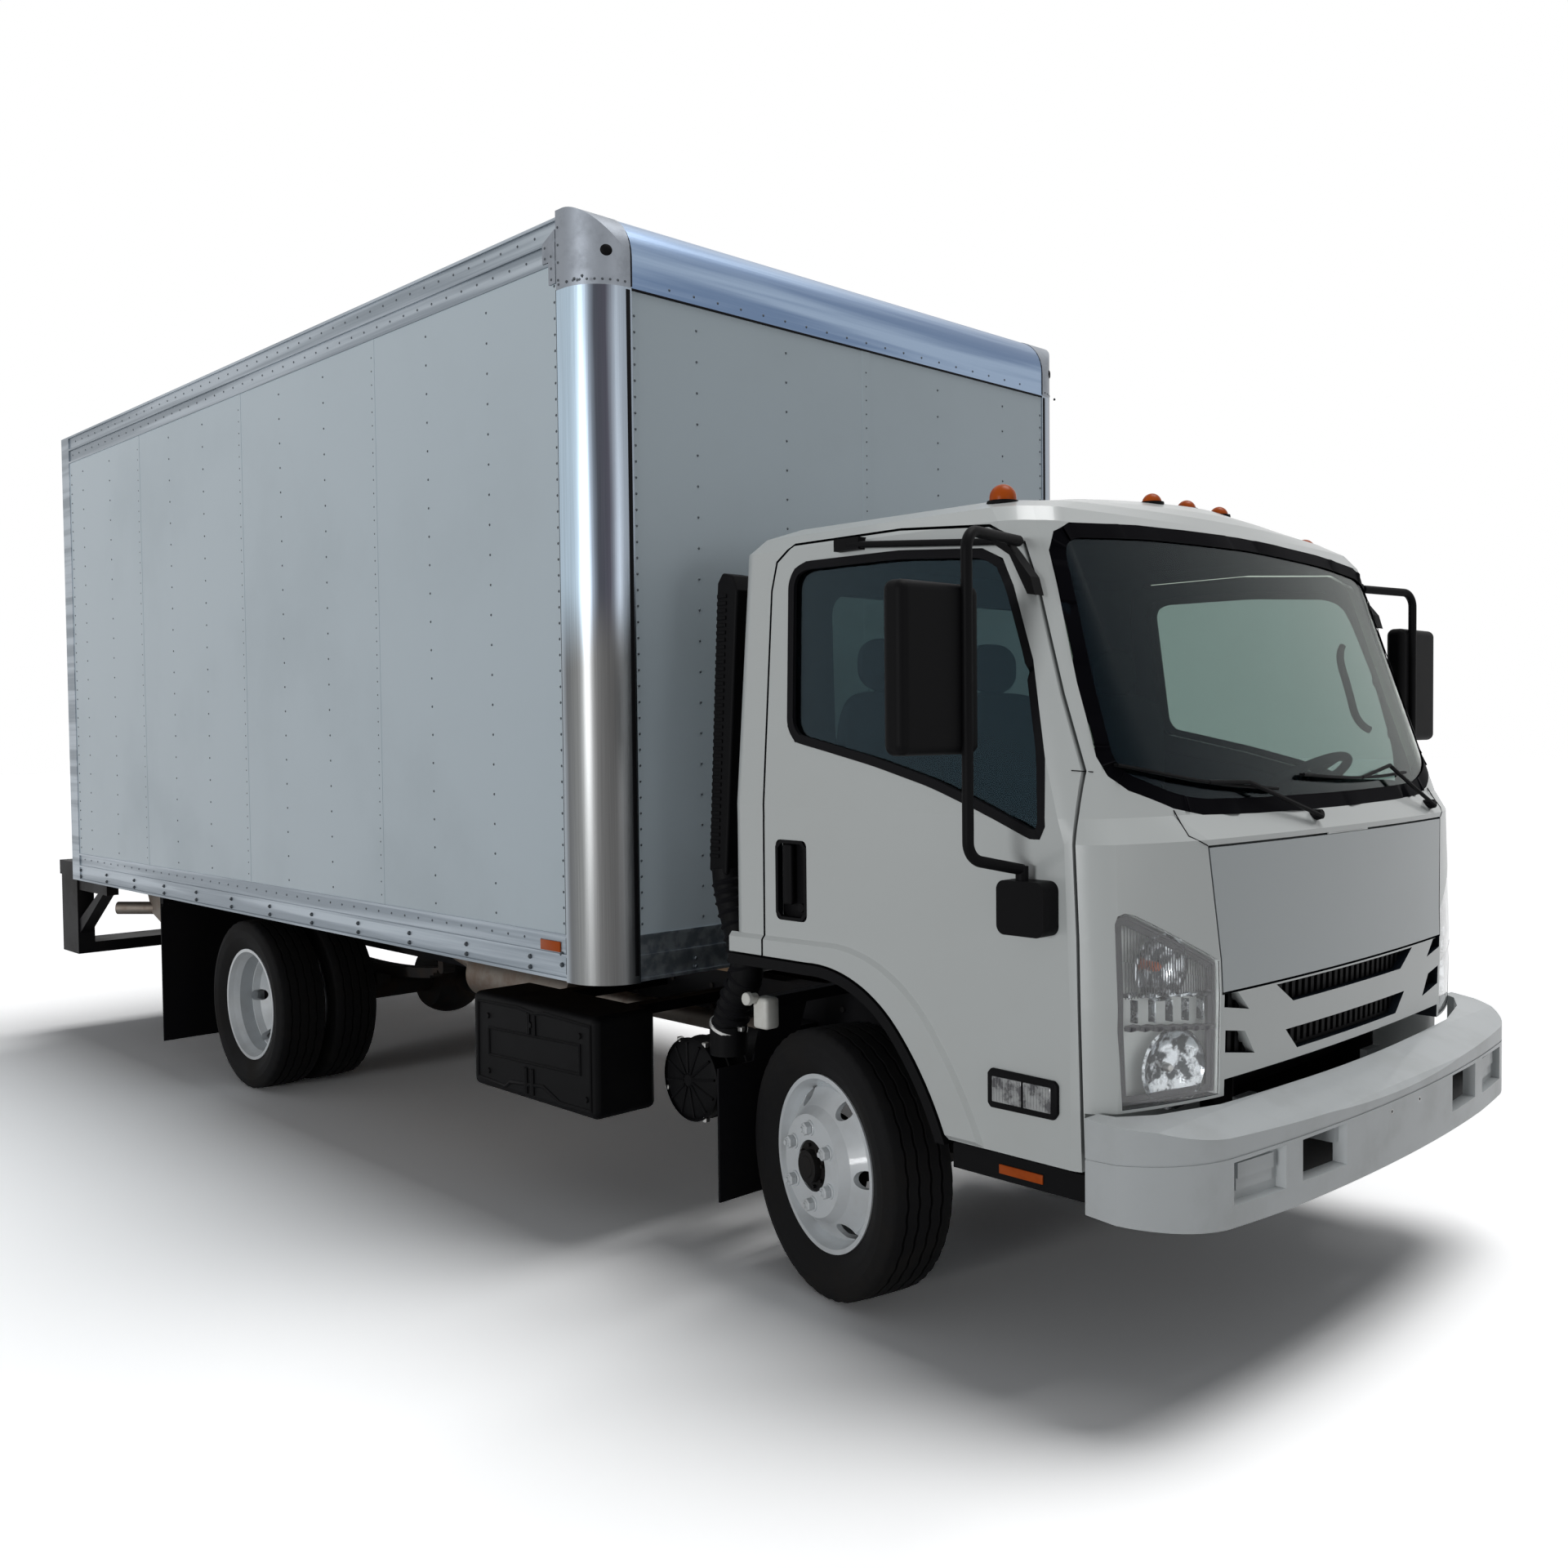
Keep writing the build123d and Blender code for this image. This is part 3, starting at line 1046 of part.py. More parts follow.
def arch_lips():
    """Black lip and liner under each arch; the outer part keeps clear of the door."""
    opening = underside(-LIP_DEPTH)
    room = block(AXLE_X - 306, AXLE_X + 562, 540, 975, CAB_SILL_Z - 12, 1100)
    liner = (underside(0) - opening) & room
    edge = (underside(-6) - opening) & block(AXLE_X - 306, AXLE_X + 562, 975, LIP_OUT, CAB_SILL_Z - 12, 1100)
    return both_sides(liner + edge)


def steps():
    x = AXLE_X
    step = block(x + 545, x + 974, 780, 1004, 531, 598)
    for x0 in (600, 880):
        step += block(x + x0, x + x0 + 40, 800, 970, 590, CAB_SILL_Z)
    return both_sides(step)


keep("arch_lips_and_steps", *arch_lips(), *steps())

MIRROR_TUBE_Y = 1240.0
MIRROR_TUBE_X = AXLE_X + 800.0
MIRROR_OUT_Y = 1459.0


def mirror_set():
    """Mirror head on a tube that runs from the door frame's top to a foot on the door panel."""
    x, y = MIRROR_TUBE_X, MIRROR_TUBE_Y
    tube = FilletPolyline((AXLE_X + 742, 968, 2150), (x, y, 2148), (x, y, 1372), (AXLE_X + 826, 1068, 1336), radius=50)
    arm = sweep(Plane(tube @ 0, z_dir=tube % 0) * Circle(14), tube)
    foot = fillet(block(AXLE_X + 764, AXLE_X + 908, 1026, 1092, 1176, 1310).edges().filter_by(Axis.Y), 24)
    arm += foot + bar_z(AXLE_X + 826, 1068, 16, 1290, 1345)
    top = polygon((AXLE_X + 690, 2178), (AXLE_X + 792, 2056), (AXLE_X + 806, 2010), (AXLE_X + 782, 2014),
                  (AXLE_X + 726, 2116), (AXLE_X + 668, 2152))
    arm += along_y(top, 948, 985)
    arm += block(AXLE_X + 100, AXLE_X + 196, 950, 985, 2180, 2214)
    brace = Line((AXLE_X + 150, 978, 2196), (AXLE_X + 730, 978, 2150))
    arm += sweep(Plane(brace @ 0, z_dir=brace % 0) * Circle(9), brace)
    head = fillet(block(x - 74, x - 6, y - 60, MIRROR_OUT_Y, 1620, 2022).edges(), 24)
    return arm + head


for name, side in (("left", 1), ("right", -1)):
    shape = mirror_set() - cab_form(0)
    keep("mirror_" + name, shape if side > 0 else mirror(shape, Plane.XZ))

os.makedirs("parts", exist_ok=True)
for name, shape in parts.items():
    export_step(shape, "parts/%s.step" % name)
    box = shape.bounding_box()
    print("%-20s %7.1f %7.1f %7.1f  %7.1f %7.1f %7.1f" % (name, *box.min, *box.max))
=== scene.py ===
"""Dresses the box truck frame: finishes, rivets, tyres, lamps, trim and the studio round it."""

import math

import bmesh
import bpy
from mathutils import Matrix, Vector
from mathutils.bvhtree import BVHTree


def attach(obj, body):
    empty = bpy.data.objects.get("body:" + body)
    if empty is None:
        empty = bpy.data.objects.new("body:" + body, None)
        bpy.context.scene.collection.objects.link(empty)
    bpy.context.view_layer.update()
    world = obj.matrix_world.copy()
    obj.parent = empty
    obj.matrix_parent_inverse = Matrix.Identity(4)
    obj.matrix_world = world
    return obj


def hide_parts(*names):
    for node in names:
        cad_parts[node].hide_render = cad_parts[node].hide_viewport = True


bl_info = {
    "name": "Box Truck Dressing",
    "version": (1, 0, 0),
    "blender": (4, 5, 0),
    "location": "3D View > Sidebar > Box Truck",
    "description": "Adds the finishes, fasteners, lamps, tyres and trim of a box truck to its frame",
    "category": "Object",
}

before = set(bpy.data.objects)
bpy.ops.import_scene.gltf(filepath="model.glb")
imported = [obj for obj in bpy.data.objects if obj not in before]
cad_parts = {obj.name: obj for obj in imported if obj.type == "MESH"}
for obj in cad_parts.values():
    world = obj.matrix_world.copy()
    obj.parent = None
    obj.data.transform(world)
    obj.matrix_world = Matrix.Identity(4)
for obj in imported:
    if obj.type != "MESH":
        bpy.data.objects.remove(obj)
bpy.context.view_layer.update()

# ------------------------------------------------------------------ driving sizes, metres
# along the truck
AXLE_X = 2.3425
REAR_AXLE_X = -1.4675
BODY_FRONT_X = 1.6285
FRONT_END_X = 3.662
BODY_REAR_X = -3.2565
REAR_FACE_X = -3.3725
# van body: half its width, the height of its rails, and how far a corner post reaches along each wall
HALF_BODY = 1.219
WALL_SKIN_Y = HALF_BODY - 0.004
RAIL_SKIN_Y = HALF_BODY - 0.006
RAIL_LOW_Z = 0.877
RAIL_TOP_Z = 1.027
TOP_RAIL_Z = 3.161
CAP_BASE_Z = 3.076
POST_TOP_Z = 3.080
SIDE_REACH = 0.188
FRONT_REACH = 0.154
CORNER_RADIUS = 0.152
RIVET_ROW_PITCH = 0.4064
FIRST_ROW_X = AXLE_X - 1.325
FLANGE_RIVET = (0.0055, 0.0035)
# wheels
CENTRE_Z = 0.398
STEER = math.radians(-12.5)
KINGPIN_Y = 0.7445
FRONT_WHEEL_Y = 0.8325
REAR_OUTER_Y = 0.952
REAR_INNER_Y = 0.698
REAR_DISC_Y = 0.837
REAR_HUB_Y = 0.883
WHEEL_OFFSET = 0.127
NUT_RING = 0.111
HUB_RING = 0.060
# the doors' outside and the furthest that the battery cover's ribs may stand out
DOOR_FACE_Y = 1.031
RIB_FACE_Y = -1.1385
# where the rays that feel for a surface start
FRONT_START = 5.0
FLANK_START = 3.0
UP = Vector((0, 0, 1))
ACROSS = Vector((0, 1, 0))
SIDES = (("left", 1), ("right", -1))


def at(a, y, z):
    """A point given from the front axle: a forward, y to the left, z up."""
    return Vector((AXLE_X + a, y, z))


def from_axle(points):
    """Points of a side outline, given as (forward of the front axle, height)."""
    return [(AXLE_X + a, z) for a, z in points]


def on_ring(x, z, radius, degrees):
    """The (x, z) of a point on a ring round an axis that runs across."""
    angle = math.radians(degrees)
    return x + radius * math.cos(angle), z + radius * math.sin(angle)


# ------------------------------------------------------------------ mesh helpers
def piece(name, bm, finish_name, body, angle=35.0):
    """Turn a bmesh into a named piece that rides on a body, smooth where its faces meet within the angle."""
    bmesh.ops.recalc_face_normals(bm, faces=bm.faces)
    mesh = bpy.data.meshes.new(name)
    bm.to_mesh(mesh)
    bm.free()
    mesh.materials.append(MATERIALS[finish_name])
    mesh.polygons.foreach_set("use_smooth", [True] * len(mesh.polygons))
    mesh.set_sharp_from_angle(angle=math.radians(angle))
    obj = bpy.data.objects.new(name, mesh)
    bpy.context.scene.collection.objects.link(obj)
    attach(obj, body)
    return obj


def pour(bm, source):
    """Add one bmesh to another and free it."""
    mesh = bpy.data.meshes.new("pour")
    source.to_mesh(mesh)
    source.free()
    bm.from_mesh(mesh)
    bpy.data.meshes.remove(mesh)


def edges_of(verts):
    return list({edge for vert in verts for edge in vert.link_edges})


def soften(bm, edges, width, segments=2):
    bmesh.ops.bevel(bm, geom=edges, offset=width, offset_type="OFFSET", affect="EDGES", segments=segments,
                    profile=0.5, material=-1, clamp_overlap=True)


def box(bm, corner, opposite, bevel=0.0, segments=2):
    """A block between two opposite corners, given in any order."""
    low = Vector([min(pair) for pair in zip(corner, opposite)])
    high = Vector([max(pair) for pair in zip(corner, opposite)])
    matrix = Matrix.Translation((low + high) / 2) @ Matrix.Diagonal((*(high - low), 1.0))
    made = bmesh.ops.create_cube(bm, size=1.0, matrix=matrix)["verts"]
    if bevel:
        soften(bm, edges_of(made), bevel, segments)


def rod(bm, start, end, radius, end_radius=None, segments=16, bevel=0.0):
    """A round bar, cone or, with few segments, a nut between two points."""
    start, end = Vector(start), Vector(end)
    line = end - start
    turn = UP.rotation_difference(line).to_matrix().to_4x4()
    made = bmesh.ops.create_cone(
        bm, cap_ends=True, cap_tris=False, segments=segments, radius1=radius,
        radius2=radius if end_radius is None else end_radius, depth=line.length,
        matrix=Matrix.Translation((start + end) / 2) @ turn)["verts"]
    if bevel:
        caps = {face for vert in made for face in vert.link_faces if len(face.verts) > 4}
        soften(bm, list({edge for face in caps for edge in face.edges}), bevel, 1)


def lathe(bm, profile, centre, axis=ACROSS, steps=48):
    """Spin a profile of (radius, distance along the axis) round an axis through centre."""
    axis = Vector(axis).normalized()
    side = axis.orthogonal().normalized()
    centre = Vector(centre)
    verts = [bm.verts.new(centre + side * radius + axis * reach) for radius, reach in profile]
    edges = [bm.edges.new(pair) for pair in zip(verts, verts[1:])]
    before = set(bm.verts)
    bmesh.ops.spin(bm, geom=verts + edges, cent=centre, axis=axis, angle=2 * math.pi, steps=steps,
                   use_merge=True, use_duplicate=False)
    made = verts + [vert for vert in bm.verts if vert not in before]
    made = [vert for vert in made if vert.is_valid]
    poles = [vert for vert in made if ((vert.co - centre).cross(axis)).length < 1e-6]
    if poles:
        bmesh.ops.remove_doubles(bm, verts=poles, dist=1e-5)
    return [vert for vert in made if vert.is_valid]


def raise_face(bm, face, shift):
    """Extrude a face, or a list of them, and give back the verts of the far end."""
    grown = bmesh.ops.extrude_face_region(bm, geom=face)["geom"]
    top = [item for item in grown if isinstance(item, bmesh.types.BMVert)]
    bmesh.ops.translate(bm, verts=top, vec=shift)
    return top


def prism(bm, points, axis, low, high, bevel=0.0, segments=2):
    """Extrude a closed outline along X, Y or Z; its points are the other two coordinates in order."""
    places = {"X": lambda u, v, w: (w, u, v), "Y": lambda u, v, w: (u, w, v), "Z": lambda u, v, w: (u, v, w)}[axis]
    low, high = sorted((low, high))
    verts = [bm.verts.new(places(u, v, low)) for u, v in points]
    top = raise_face(bm, [bm.faces.new(verts)], Vector(places(0, 0, high - low)))
    if bevel:
        soften(bm, edges_of(verts + top), bevel, segments)


def tube(bm, points, radius, sides=10, smooth=True, closed=False):
    """A round tube along a line of points."""
    curve = bpy.data.curves.new("tube", "CURVE")
    curve.dimensions = "3D"
    curve.bevel_depth = radius
    curve.bevel_resolution = max(1, sides // 4 - 1)
    curve.use_fill_caps = True
    curve.resolution_u = 6
    spline = curve.splines.new("NURBS" if smooth else "POLY")
    spline.points.add(len(points) - 1)
    for slot, point in zip(spline.points, points):
        slot.co = (*point, 1.0)
    if smooth:
        spline.order_u = 3
        spline.use_endpoint_u = not closed
    spline.use_cyclic_u = closed
    holder = bpy.data.objects.new("tube", curve)
    mesh = bpy.data.meshes.new_from_object(holder)
    bm.from_mesh(mesh)
    bpy.data.objects.remove(holder)
    bpy.data.curves.remove(curve)
    bpy.data.meshes.remove(mesh)


def stamp(bm, template, places):
    """Copy a small mesh to each place, given as a matrix."""
    for place in places:
        copy = template.copy()
        copy.transform(place)
        bm.from_mesh(copy)
        bpy.data.meshes.remove(copy)


def template(build):
    """The small mesh that build makes, for stamp."""
    bm = bmesh.new()
    build(bm)
    bmesh.ops.recalc_face_normals(bm, faces=bm.faces)
    mesh = bpy.data.meshes.new("template")
    bm.to_mesh(mesh)
    bm.free()
    return mesh


def facing(direction, point):
    """A matrix that lays +Z along a direction at a point."""
    return Matrix.Translation(point) @ UP.rotation_difference(Vector(direction)).to_matrix().to_4x4()


def strip(bm, places, low, high, back, front):
    """A closed bar that runs through (x, y) places, with its faces at back and front of them."""
    rows = [[bm.verts.new((x + d, y, z)) for d, z in ((back, low), (front, low), (front, high), (back, high))]
            for x, y in places]
    for one, two in zip(rows, rows[1:]):
        for k in range(4):
            bm.faces.new((one[k], one[(k + 1) % 4], two[(k + 1) % 4], two[k]))
    bm.faces.new(rows[0][::-1])
    bm.faces.new(rows[-1])


def mirrored(points):
    return [(-u, v) for u, v in reversed(points)]


# ------------------------------------------------------------------ lying on the frame's surfaces
class Surface:
    """The outside of some frame nodes, found by rays along X or Y."""

    def __init__(self, *names):
        verts, faces = [], []
        for name in names:
            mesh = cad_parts[name].data
            base = len(verts)
            verts += [vert.co.copy() for vert in mesh.vertices]
            faces += [[base + index for index in face.vertices] for face in mesh.polygons]
        self.tree = BVHTree.FromPolygons(verts, faces)

    def hit(self, origin, direction):
        """Where a ray meets the nodes and the normal there, or None twice where it misses."""
        return self.tree.ray_cast(Vector(origin), Vector(direction))[:2]

    def front(self, y, z, missed=None):
        place, _ = self.hit((FRONT_START, y, z), (-1, 0, 0))
        return missed if place is None else place.x

    def flank(self, x, z, side):
        place, _ = self.hit((x, side * FLANK_START, z), (0, -side, 0))
        return None if place is None else place.y


def rounded(points, radius, steps=4):
    """Round the corners of a closed outline."""
    out = []
    count = len(points)
    for index in range(count):
        before, here, after = (Vector(points[(index + k) % count]) for k in (-1, 0, 1))
        back, ahead = before - here, after - here
        reach = min(radius, back.length * 0.45, ahead.length * 0.45)
        start, end = here + back.normalized() * reach, here + ahead.normalized() * reach
        for k in range(steps + 1):
            t = k / steps
            out.append(tuple(start * (1 - t) ** 2 + here * 2 * t * (1 - t) + end * t * t))
    return out


def outline_band(bm, points, axis, inward, seat, lift, thick, outward=0.0, cuts=3):
    """A band that follows a closed outline and lies on a surface.

    points are (y, z) for axis X or (x, z) for axis Y. seat gives the surface's place along the axis, and
    inward and outward are the band's reach on each side of the outline. Where lift is below 0, thick is
    turned round too.
    """
    along = "XY".index(axis)
    places = (lambda u, v: (0.0, u, v), lambda u, v: (u, 0.0, v))[along]
    flat = bmesh.new()
    face = flat.faces.new([flat.verts.new(places(u, v)) for u, v in points])
    if outward:
        bmesh.ops.inset_region(flat, faces=[face], thickness=-outward, use_even_offset=True, use_boundary=True)
        flat.faces.ensure_lookup_table()
    bmesh.ops.subdivide_edges(flat, edges=face.edges[:], cuts=cuts)
    flat.faces.ensure_lookup_table()
    middle = max(flat.faces, key=lambda item: item.calc_area())
    ring = set(bmesh.ops.inset_region(flat, faces=[middle], thickness=inward, use_even_offset=True,
                                      use_boundary=True)["faces"])
    bmesh.ops.delete(flat, geom=[item for item in flat.faces if item not in ring], context="FACES")
    for vert in flat.verts:
        vert.co[along] = seat(vert.co[1 - along], vert.co.z) + lift
    grow = thick if lift >= 0 else -thick
    raise_face(flat, flat.faces[:], Vector((0, grow, 0) if along else (grow, 0, 0)))
    pour(bm, flat)


# ------------------------------------------------------------------ shader node groups
FLOAT, COLOUR, VECTOR = "NodeSocketFloat", "NodeSocketColor", "NodeSocketVector"
SKIN_OUTPUTS = (("Color", COLOUR), ("Roughness", FLOAT), ("Height", FLOAT))


def start_group(name, inputs, outputs=SKIN_OUTPUTS):
    """A new node group, with the sockets that enter it and those that leave it."""
    tree = bpy.data.node_groups.new(name, "ShaderNodeTree")
    for label, kind, value in inputs:
        socket = tree.interface.new_socket(name=label, in_out="INPUT", socket_type=kind)
        socket.default_value = value
    for label, kind in outputs:
        tree.interface.new_socket(name=label, in_out="OUTPUT", socket_type=kind)
    return tree, tree.nodes.new("NodeGroupInput").outputs, tree.nodes.new("NodeGroupOutput").inputs


def link(tree, start, end):
    tree.links.new(start, end)


def feed(tree, value, socket):
    """Link a socket to another, or set it to a number or tuple."""
    if isinstance(value, (int, float, tuple)):
        socket.default_value = value
    else:
        link(tree, value, socket)


def set_inputs(node, **values):
    """Set a node's sockets; an underscore in a name stands for a space."""
    for label, value in values.items():
        node.inputs[label.replace("_", " ")].default_value = value


def maths(tree, operation, first, second=None, clamp=False):
    node = tree.nodes.new("ShaderNodeMath")
    node.operation = operation
    node.use_clamp = clamp
    feed(tree, first, node.inputs[0])
    if second is not None:
        feed(tree, second, node.inputs[1])
    return node.outputs[0]


def plus(tree, base, value, factor, clamp=False):
    """base + value * factor"""
    return maths(tree, "ADD", base, maths(tree, "MULTIPLY", value, factor), clamp)


def around(tree, base, value, factor, clamp=False):
    """base + (value - 0.5) * factor, for a noise that lies about 0.5"""
    return plus(tree, base, maths(tree, "SUBTRACT", value, 0.5), factor, clamp)


def vector_maths(tree, operation, first, second, output="Vector"):
    node = tree.nodes.new("ShaderNodeVectorMath")
    node.operation = operation
    feed(tree, first, node.inputs[0])
    feed(tree, second, node.inputs[1])
    return node.outputs[output]


def ramp(tree, value, low, high):
    """A soft step from 0 at low to 1 at high."""
    node = tree.nodes.new("ShaderNodeMapRange")
    node.interpolation_type = "SMOOTHSTEP"
    link(tree, value, node.inputs["Value"])
    set_inputs(node, From_Min=low, From_Max=high)
    return node.outputs["Result"]


def blend_colours(tree, share, first, second):
    node = tree.nodes.new("ShaderNodeMix")
    node.data_type = "RGBA"
    link(tree, share, node.inputs["Factor"])
    for label, value in (("A", first), ("B", second)):
        feed(tree, value, [item for item in node.inputs if item.name == label and item.type == "RGBA"][0])
    return [item for item in node.outputs if item.type == "RGBA"][0]


def noise(tree, vector, scale, detail=4.0, rough=0.6):
    node = tree.nodes.new("ShaderNodeTexNoise")
    set_inputs(node, Detail=detail, Roughness=rough)
    link(tree, vector, node.inputs["Vector"])
    feed(tree, scale, node.inputs["Scale"])
    return node.outputs["Fac"]


def object_place(tree):
    return tree.nodes.new("ShaderNodeTexCoord").outputs["Object"]


def parts_of(tree, vector):
    """The X, Y and Z sockets of a vector."""
    node = tree.nodes.new("ShaderNodeSeparateXYZ")
    link(tree, vector, node.inputs[0])
    return node.outputs


def soiling_group():
    """Clean colour under soft patches of soil, more of it near the road, with a fine grain."""
    tree, enter, leave = start_group("Soiling", (
        ("Clean", COLOUR, (0.8, 0.8, 0.8, 1)), ("Soil", COLOUR, (0.2, 0.18, 0.15, 1)), ("Amount", FLOAT, 0.3),
        ("Scale", FLOAT, 3.0), ("Grain", FLOAT, 200.0), ("Roughness", FLOAT, 0.4), ("Road Height", FLOAT, 1.0)))
    place = object_place(tree)
    patches = ramp(tree, noise(tree, place, enter["Scale"], 6.0), 0.42, 0.72)
    climb = maths(tree, "DIVIDE", parts_of(tree, place)["Z"], enter["Road Height"])
    low = plus(tree, 0.35, maths(tree, "SUBTRACT", 1.0, climb, clamp=True), 0.9)
    share = maths(tree, "MULTIPLY", maths(tree, "MULTIPLY", patches, low), enter["Amount"], clamp=True)
    link(tree, blend_colours(tree, share, enter["Clean"], enter["Soil"]), leave["Color"])
    grain = noise(tree, place, enter["Grain"], 2.0)
    rough = plus(tree, enter["Roughness"], share, 0.35)
    link(tree, around(tree, rough, grain, 0.12, clamp=True), leave["Roughness"])
    link(tree, grain, leave["Height"])


def streak_and_reflection_group():
    """Bands between two tones, drawn out along one direction: fine streaks for the grain of rolled or polished metal,
    and broad light and dark bands that are painted reflections.
    """
    tree, enter, leave = start_group("Streaks", (
        ("Light", COLOUR, (0.8, 0.8, 0.8, 1)), ("Dark", COLOUR, (0.3, 0.3, 0.3, 1)),
        ("Stretch", VECTOR, (1, 1, 1)), ("Roughness", FLOAT, 0.25)))
    drawn_out = vector_maths(tree, "MULTIPLY", object_place(tree), enter["Stretch"])
    broad = noise(tree, drawn_out, 1.0, 3.0, 0.5)
    fine = noise(tree, drawn_out, 14.0, 3.0, 0.7)
    # the broad bands are painted reflections, the fine streaks the metal's grain
    share = around(tree, ramp(tree, broad, 0.38, 0.62), fine, 0.25, clamp=True)
    link(tree, blend_colours(tree, share, enter["Light"], enter["Dark"]), leave["Color"])
    link(tree, plus(tree, enter["Roughness"], fine, 0.12), leave["Roughness"])
    link(tree, fine, leave["Height"])


def dent_group():
    """Long soft waves and a few small knocks in thin sheet."""
    tree, enter, leave = start_group(
        "Sheet Waves", (("Scale", FLOAT, 1.5), ("Knocks", FLOAT, 0.35)), (("Height", FLOAT),))
    place = object_place(tree)
    waves = noise(tree, place, enter["Scale"], 1.5, 0.4)
    spots = tree.nodes.new("ShaderNodeTexVoronoi")
    set_inputs(spots, Scale=1.7)
    link(tree, place, spots.inputs["Vector"])
    knocks = maths(tree, "SUBTRACT", 1.0, ramp(tree, spots.outputs["Distance"], 0.0, 0.13))
    height = maths(tree, "SUBTRACT", waves, maths(tree, "MULTIPLY", knocks, enter["Knocks"]))
    link(tree, height, leave["Height"])


# painted reflections on a corner post: bright and dark bands from its front edge round to its side edge
HIGH_REFLECTIONS = ((0.0, (0.26, 0.30, 0.35)), (0.20, (0.27, 0.31, 0.36)), (0.32, (0.07, 0.07, 0.09)),
              (0.46, (0.06, 0.065, 0.08)), (0.56, (0.22, 0.26, 0.31)), (0.66, (0.36, 0.45, 0.53)),
              (1.0, (0.36, 0.45, 0.53)))
LOW_REFLECTIONS = ((0.0, (0.05, 0.06, 0.07)), (0.10, (0.10, 0.105, 0.11)), (0.30, (0.09, 0.09, 0.09)),
             (0.45, (0.12, 0.12, 0.12)), (0.80, (0.17, 0.175, 0.175)), (0.93, (0.12, 0.125, 0.13)),
             (1.0, (0.28, 0.31, 0.34)))


def colour_bands(tree, share, stops):
    node = tree.nodes.new("ShaderNodeValToRGB")
    link(tree, share, node.inputs[0])
    elements = node.color_ramp.elements
    while len(elements) < len(stops):
        elements.new(0.5)
    for element, (where, colour) in zip(elements, stops):
        element.position = where
        element.color = (*colour, 1.0)
    return node.outputs[0]


def post_reflection_group():
    """Painted reflections on a polished corner: bright and dark upright bands, quieter and darker below eye height."""
    tree, enter, leave = start_group("Post Painted Reflections", (
        ("Corner", VECTOR, (BODY_FRONT_X, HALF_BODY, 0)), ("Eye Height", FLOAT, 2.05)))
    place = object_place(tree)
    here, corner = parts_of(tree, place), parts_of(tree, enter["Corner"])
    # runs from the front edge of the post (negative) round to its side edge (positive)
    round_it = maths(tree, "ADD",
                     maths(tree, "SUBTRACT", maths(tree, "ABSOLUTE", here["Y"]), corner["Y"]),
                     maths(tree, "SUBTRACT", corner["X"], here["X"]))
    warp = noise(tree, place, 1.3, 2.0, 0.5)
    share = plus(tree, 0.46, around(tree, round_it, warp, 0.03), 2.9)
    above = maths(tree, "SUBTRACT", here["Z"], enter["Eye Height"])
    step = ramp(tree, plus(tree, above, warp, 0.4), 0.0, 0.35)
    fine = noise(tree, vector_maths(tree, "MULTIPLY", place, (300.0, 300.0, 2.0)), 1.0, 2.0, 0.6)
    shaded = tree.nodes.new("ShaderNodeHueSaturation")
    link(tree, blend_colours(tree, step, colour_bands(tree, share, LOW_REFLECTIONS),
                             colour_bands(tree, share, HIGH_REFLECTIONS)), shaded.inputs["Color"])
    link(tree, plus(tree, 0.78, fine, 0.44), shaded.inputs["Value"])
    link(tree, shaded.outputs[0], leave["Color"])
    link(tree, plus(tree, 0.26, fine, 0.12), leave["Roughness"])
    link(tree, fine, leave["Height"])


def use_group(tree, name, **values):
    """Place a group with its own values and give back its outputs."""
    node = tree.nodes.new("ShaderNodeGroup")
    node.node_tree = bpy.data.node_groups[name]
    set_inputs(node, **values)
    return node.outputs


# ------------------------------------------------------------------ materials
ROAD_SOIL = (0.30, 0.27, 0.22, 1)
DARK_TRIM = (0.009, 0.012, 0.017, 1)
COOL_WHITE = (0.62, 0.65, 0.67, 1)


def grey(value):
    return (value, value, value, 1.0)


def blank_material(name):
    material = bpy.data.materials.new(name)
    material.use_nodes = True
    return material, material.node_tree, material.node_tree.nodes["Principled BSDF"]


def put_on(tree, shader, skin):
    """Give a shader the colour and roughness of a group."""
    link(tree, skin["Color"], shader.inputs["Base Color"])
    link(tree, skin["Roughness"], shader.inputs["Roughness"])


def add_bump(tree, shader, height, strength, distance, normal=None):
    bump = tree.nodes.new("ShaderNodeBump")
    set_inputs(bump, Strength=strength, Distance=distance)
    link(tree, height, bump.inputs["Height"])
    if normal is not None:
        link(tree, normal, bump.inputs["Normal"])
    link(tree, bump.outputs["Normal"], shader.inputs["Normal"])
    return bump.outputs["Normal"]


def mix_shaders(tree, share, first, second, output):
    mix = tree.nodes.new("ShaderNodeMixShader")
    for index, value in enumerate((share, first, second)):
        link(tree, value, mix.inputs[index])
    link(tree, mix.outputs[0], tree.nodes[output].inputs["Surface"])


def finish(name, clean, soil=(0.12, 0.10, 0.08, 1), amount=0.3, scale=3.0, grain=220.0, rough=0.45, metal=0.0,
           bump=0.15, depth=0.0004, coat=0.0, road=1.0, specular=0.5, waves=0.0, wave_scale=1.5):
    """A finish made of a clean colour, its soiling and its grain."""
    material, tree, shader = blank_material(name)
    dirt = use_group(tree, "Soiling", Clean=clean, Soil=soil, Amount=amount, Scale=scale, Grain=grain,
                     Roughness=rough, Road_Height=road)
    put_on(tree, shader, dirt)
    set_inputs(shader, Metallic=metal, Specular_IOR_Level=specular)
    if coat:
        set_inputs(shader, Coat_Weight=coat, Coat_Roughness=0.05)
    normal = None
    if waves:
        sheet = use_group(tree, "Sheet Waves", Scale=wave_scale)
        normal = add_bump(tree, shader, sheet["Height"], waves, 0.02)
    add_bump(tree, shader, dirt["Height"], bump, depth, normal)
    return material


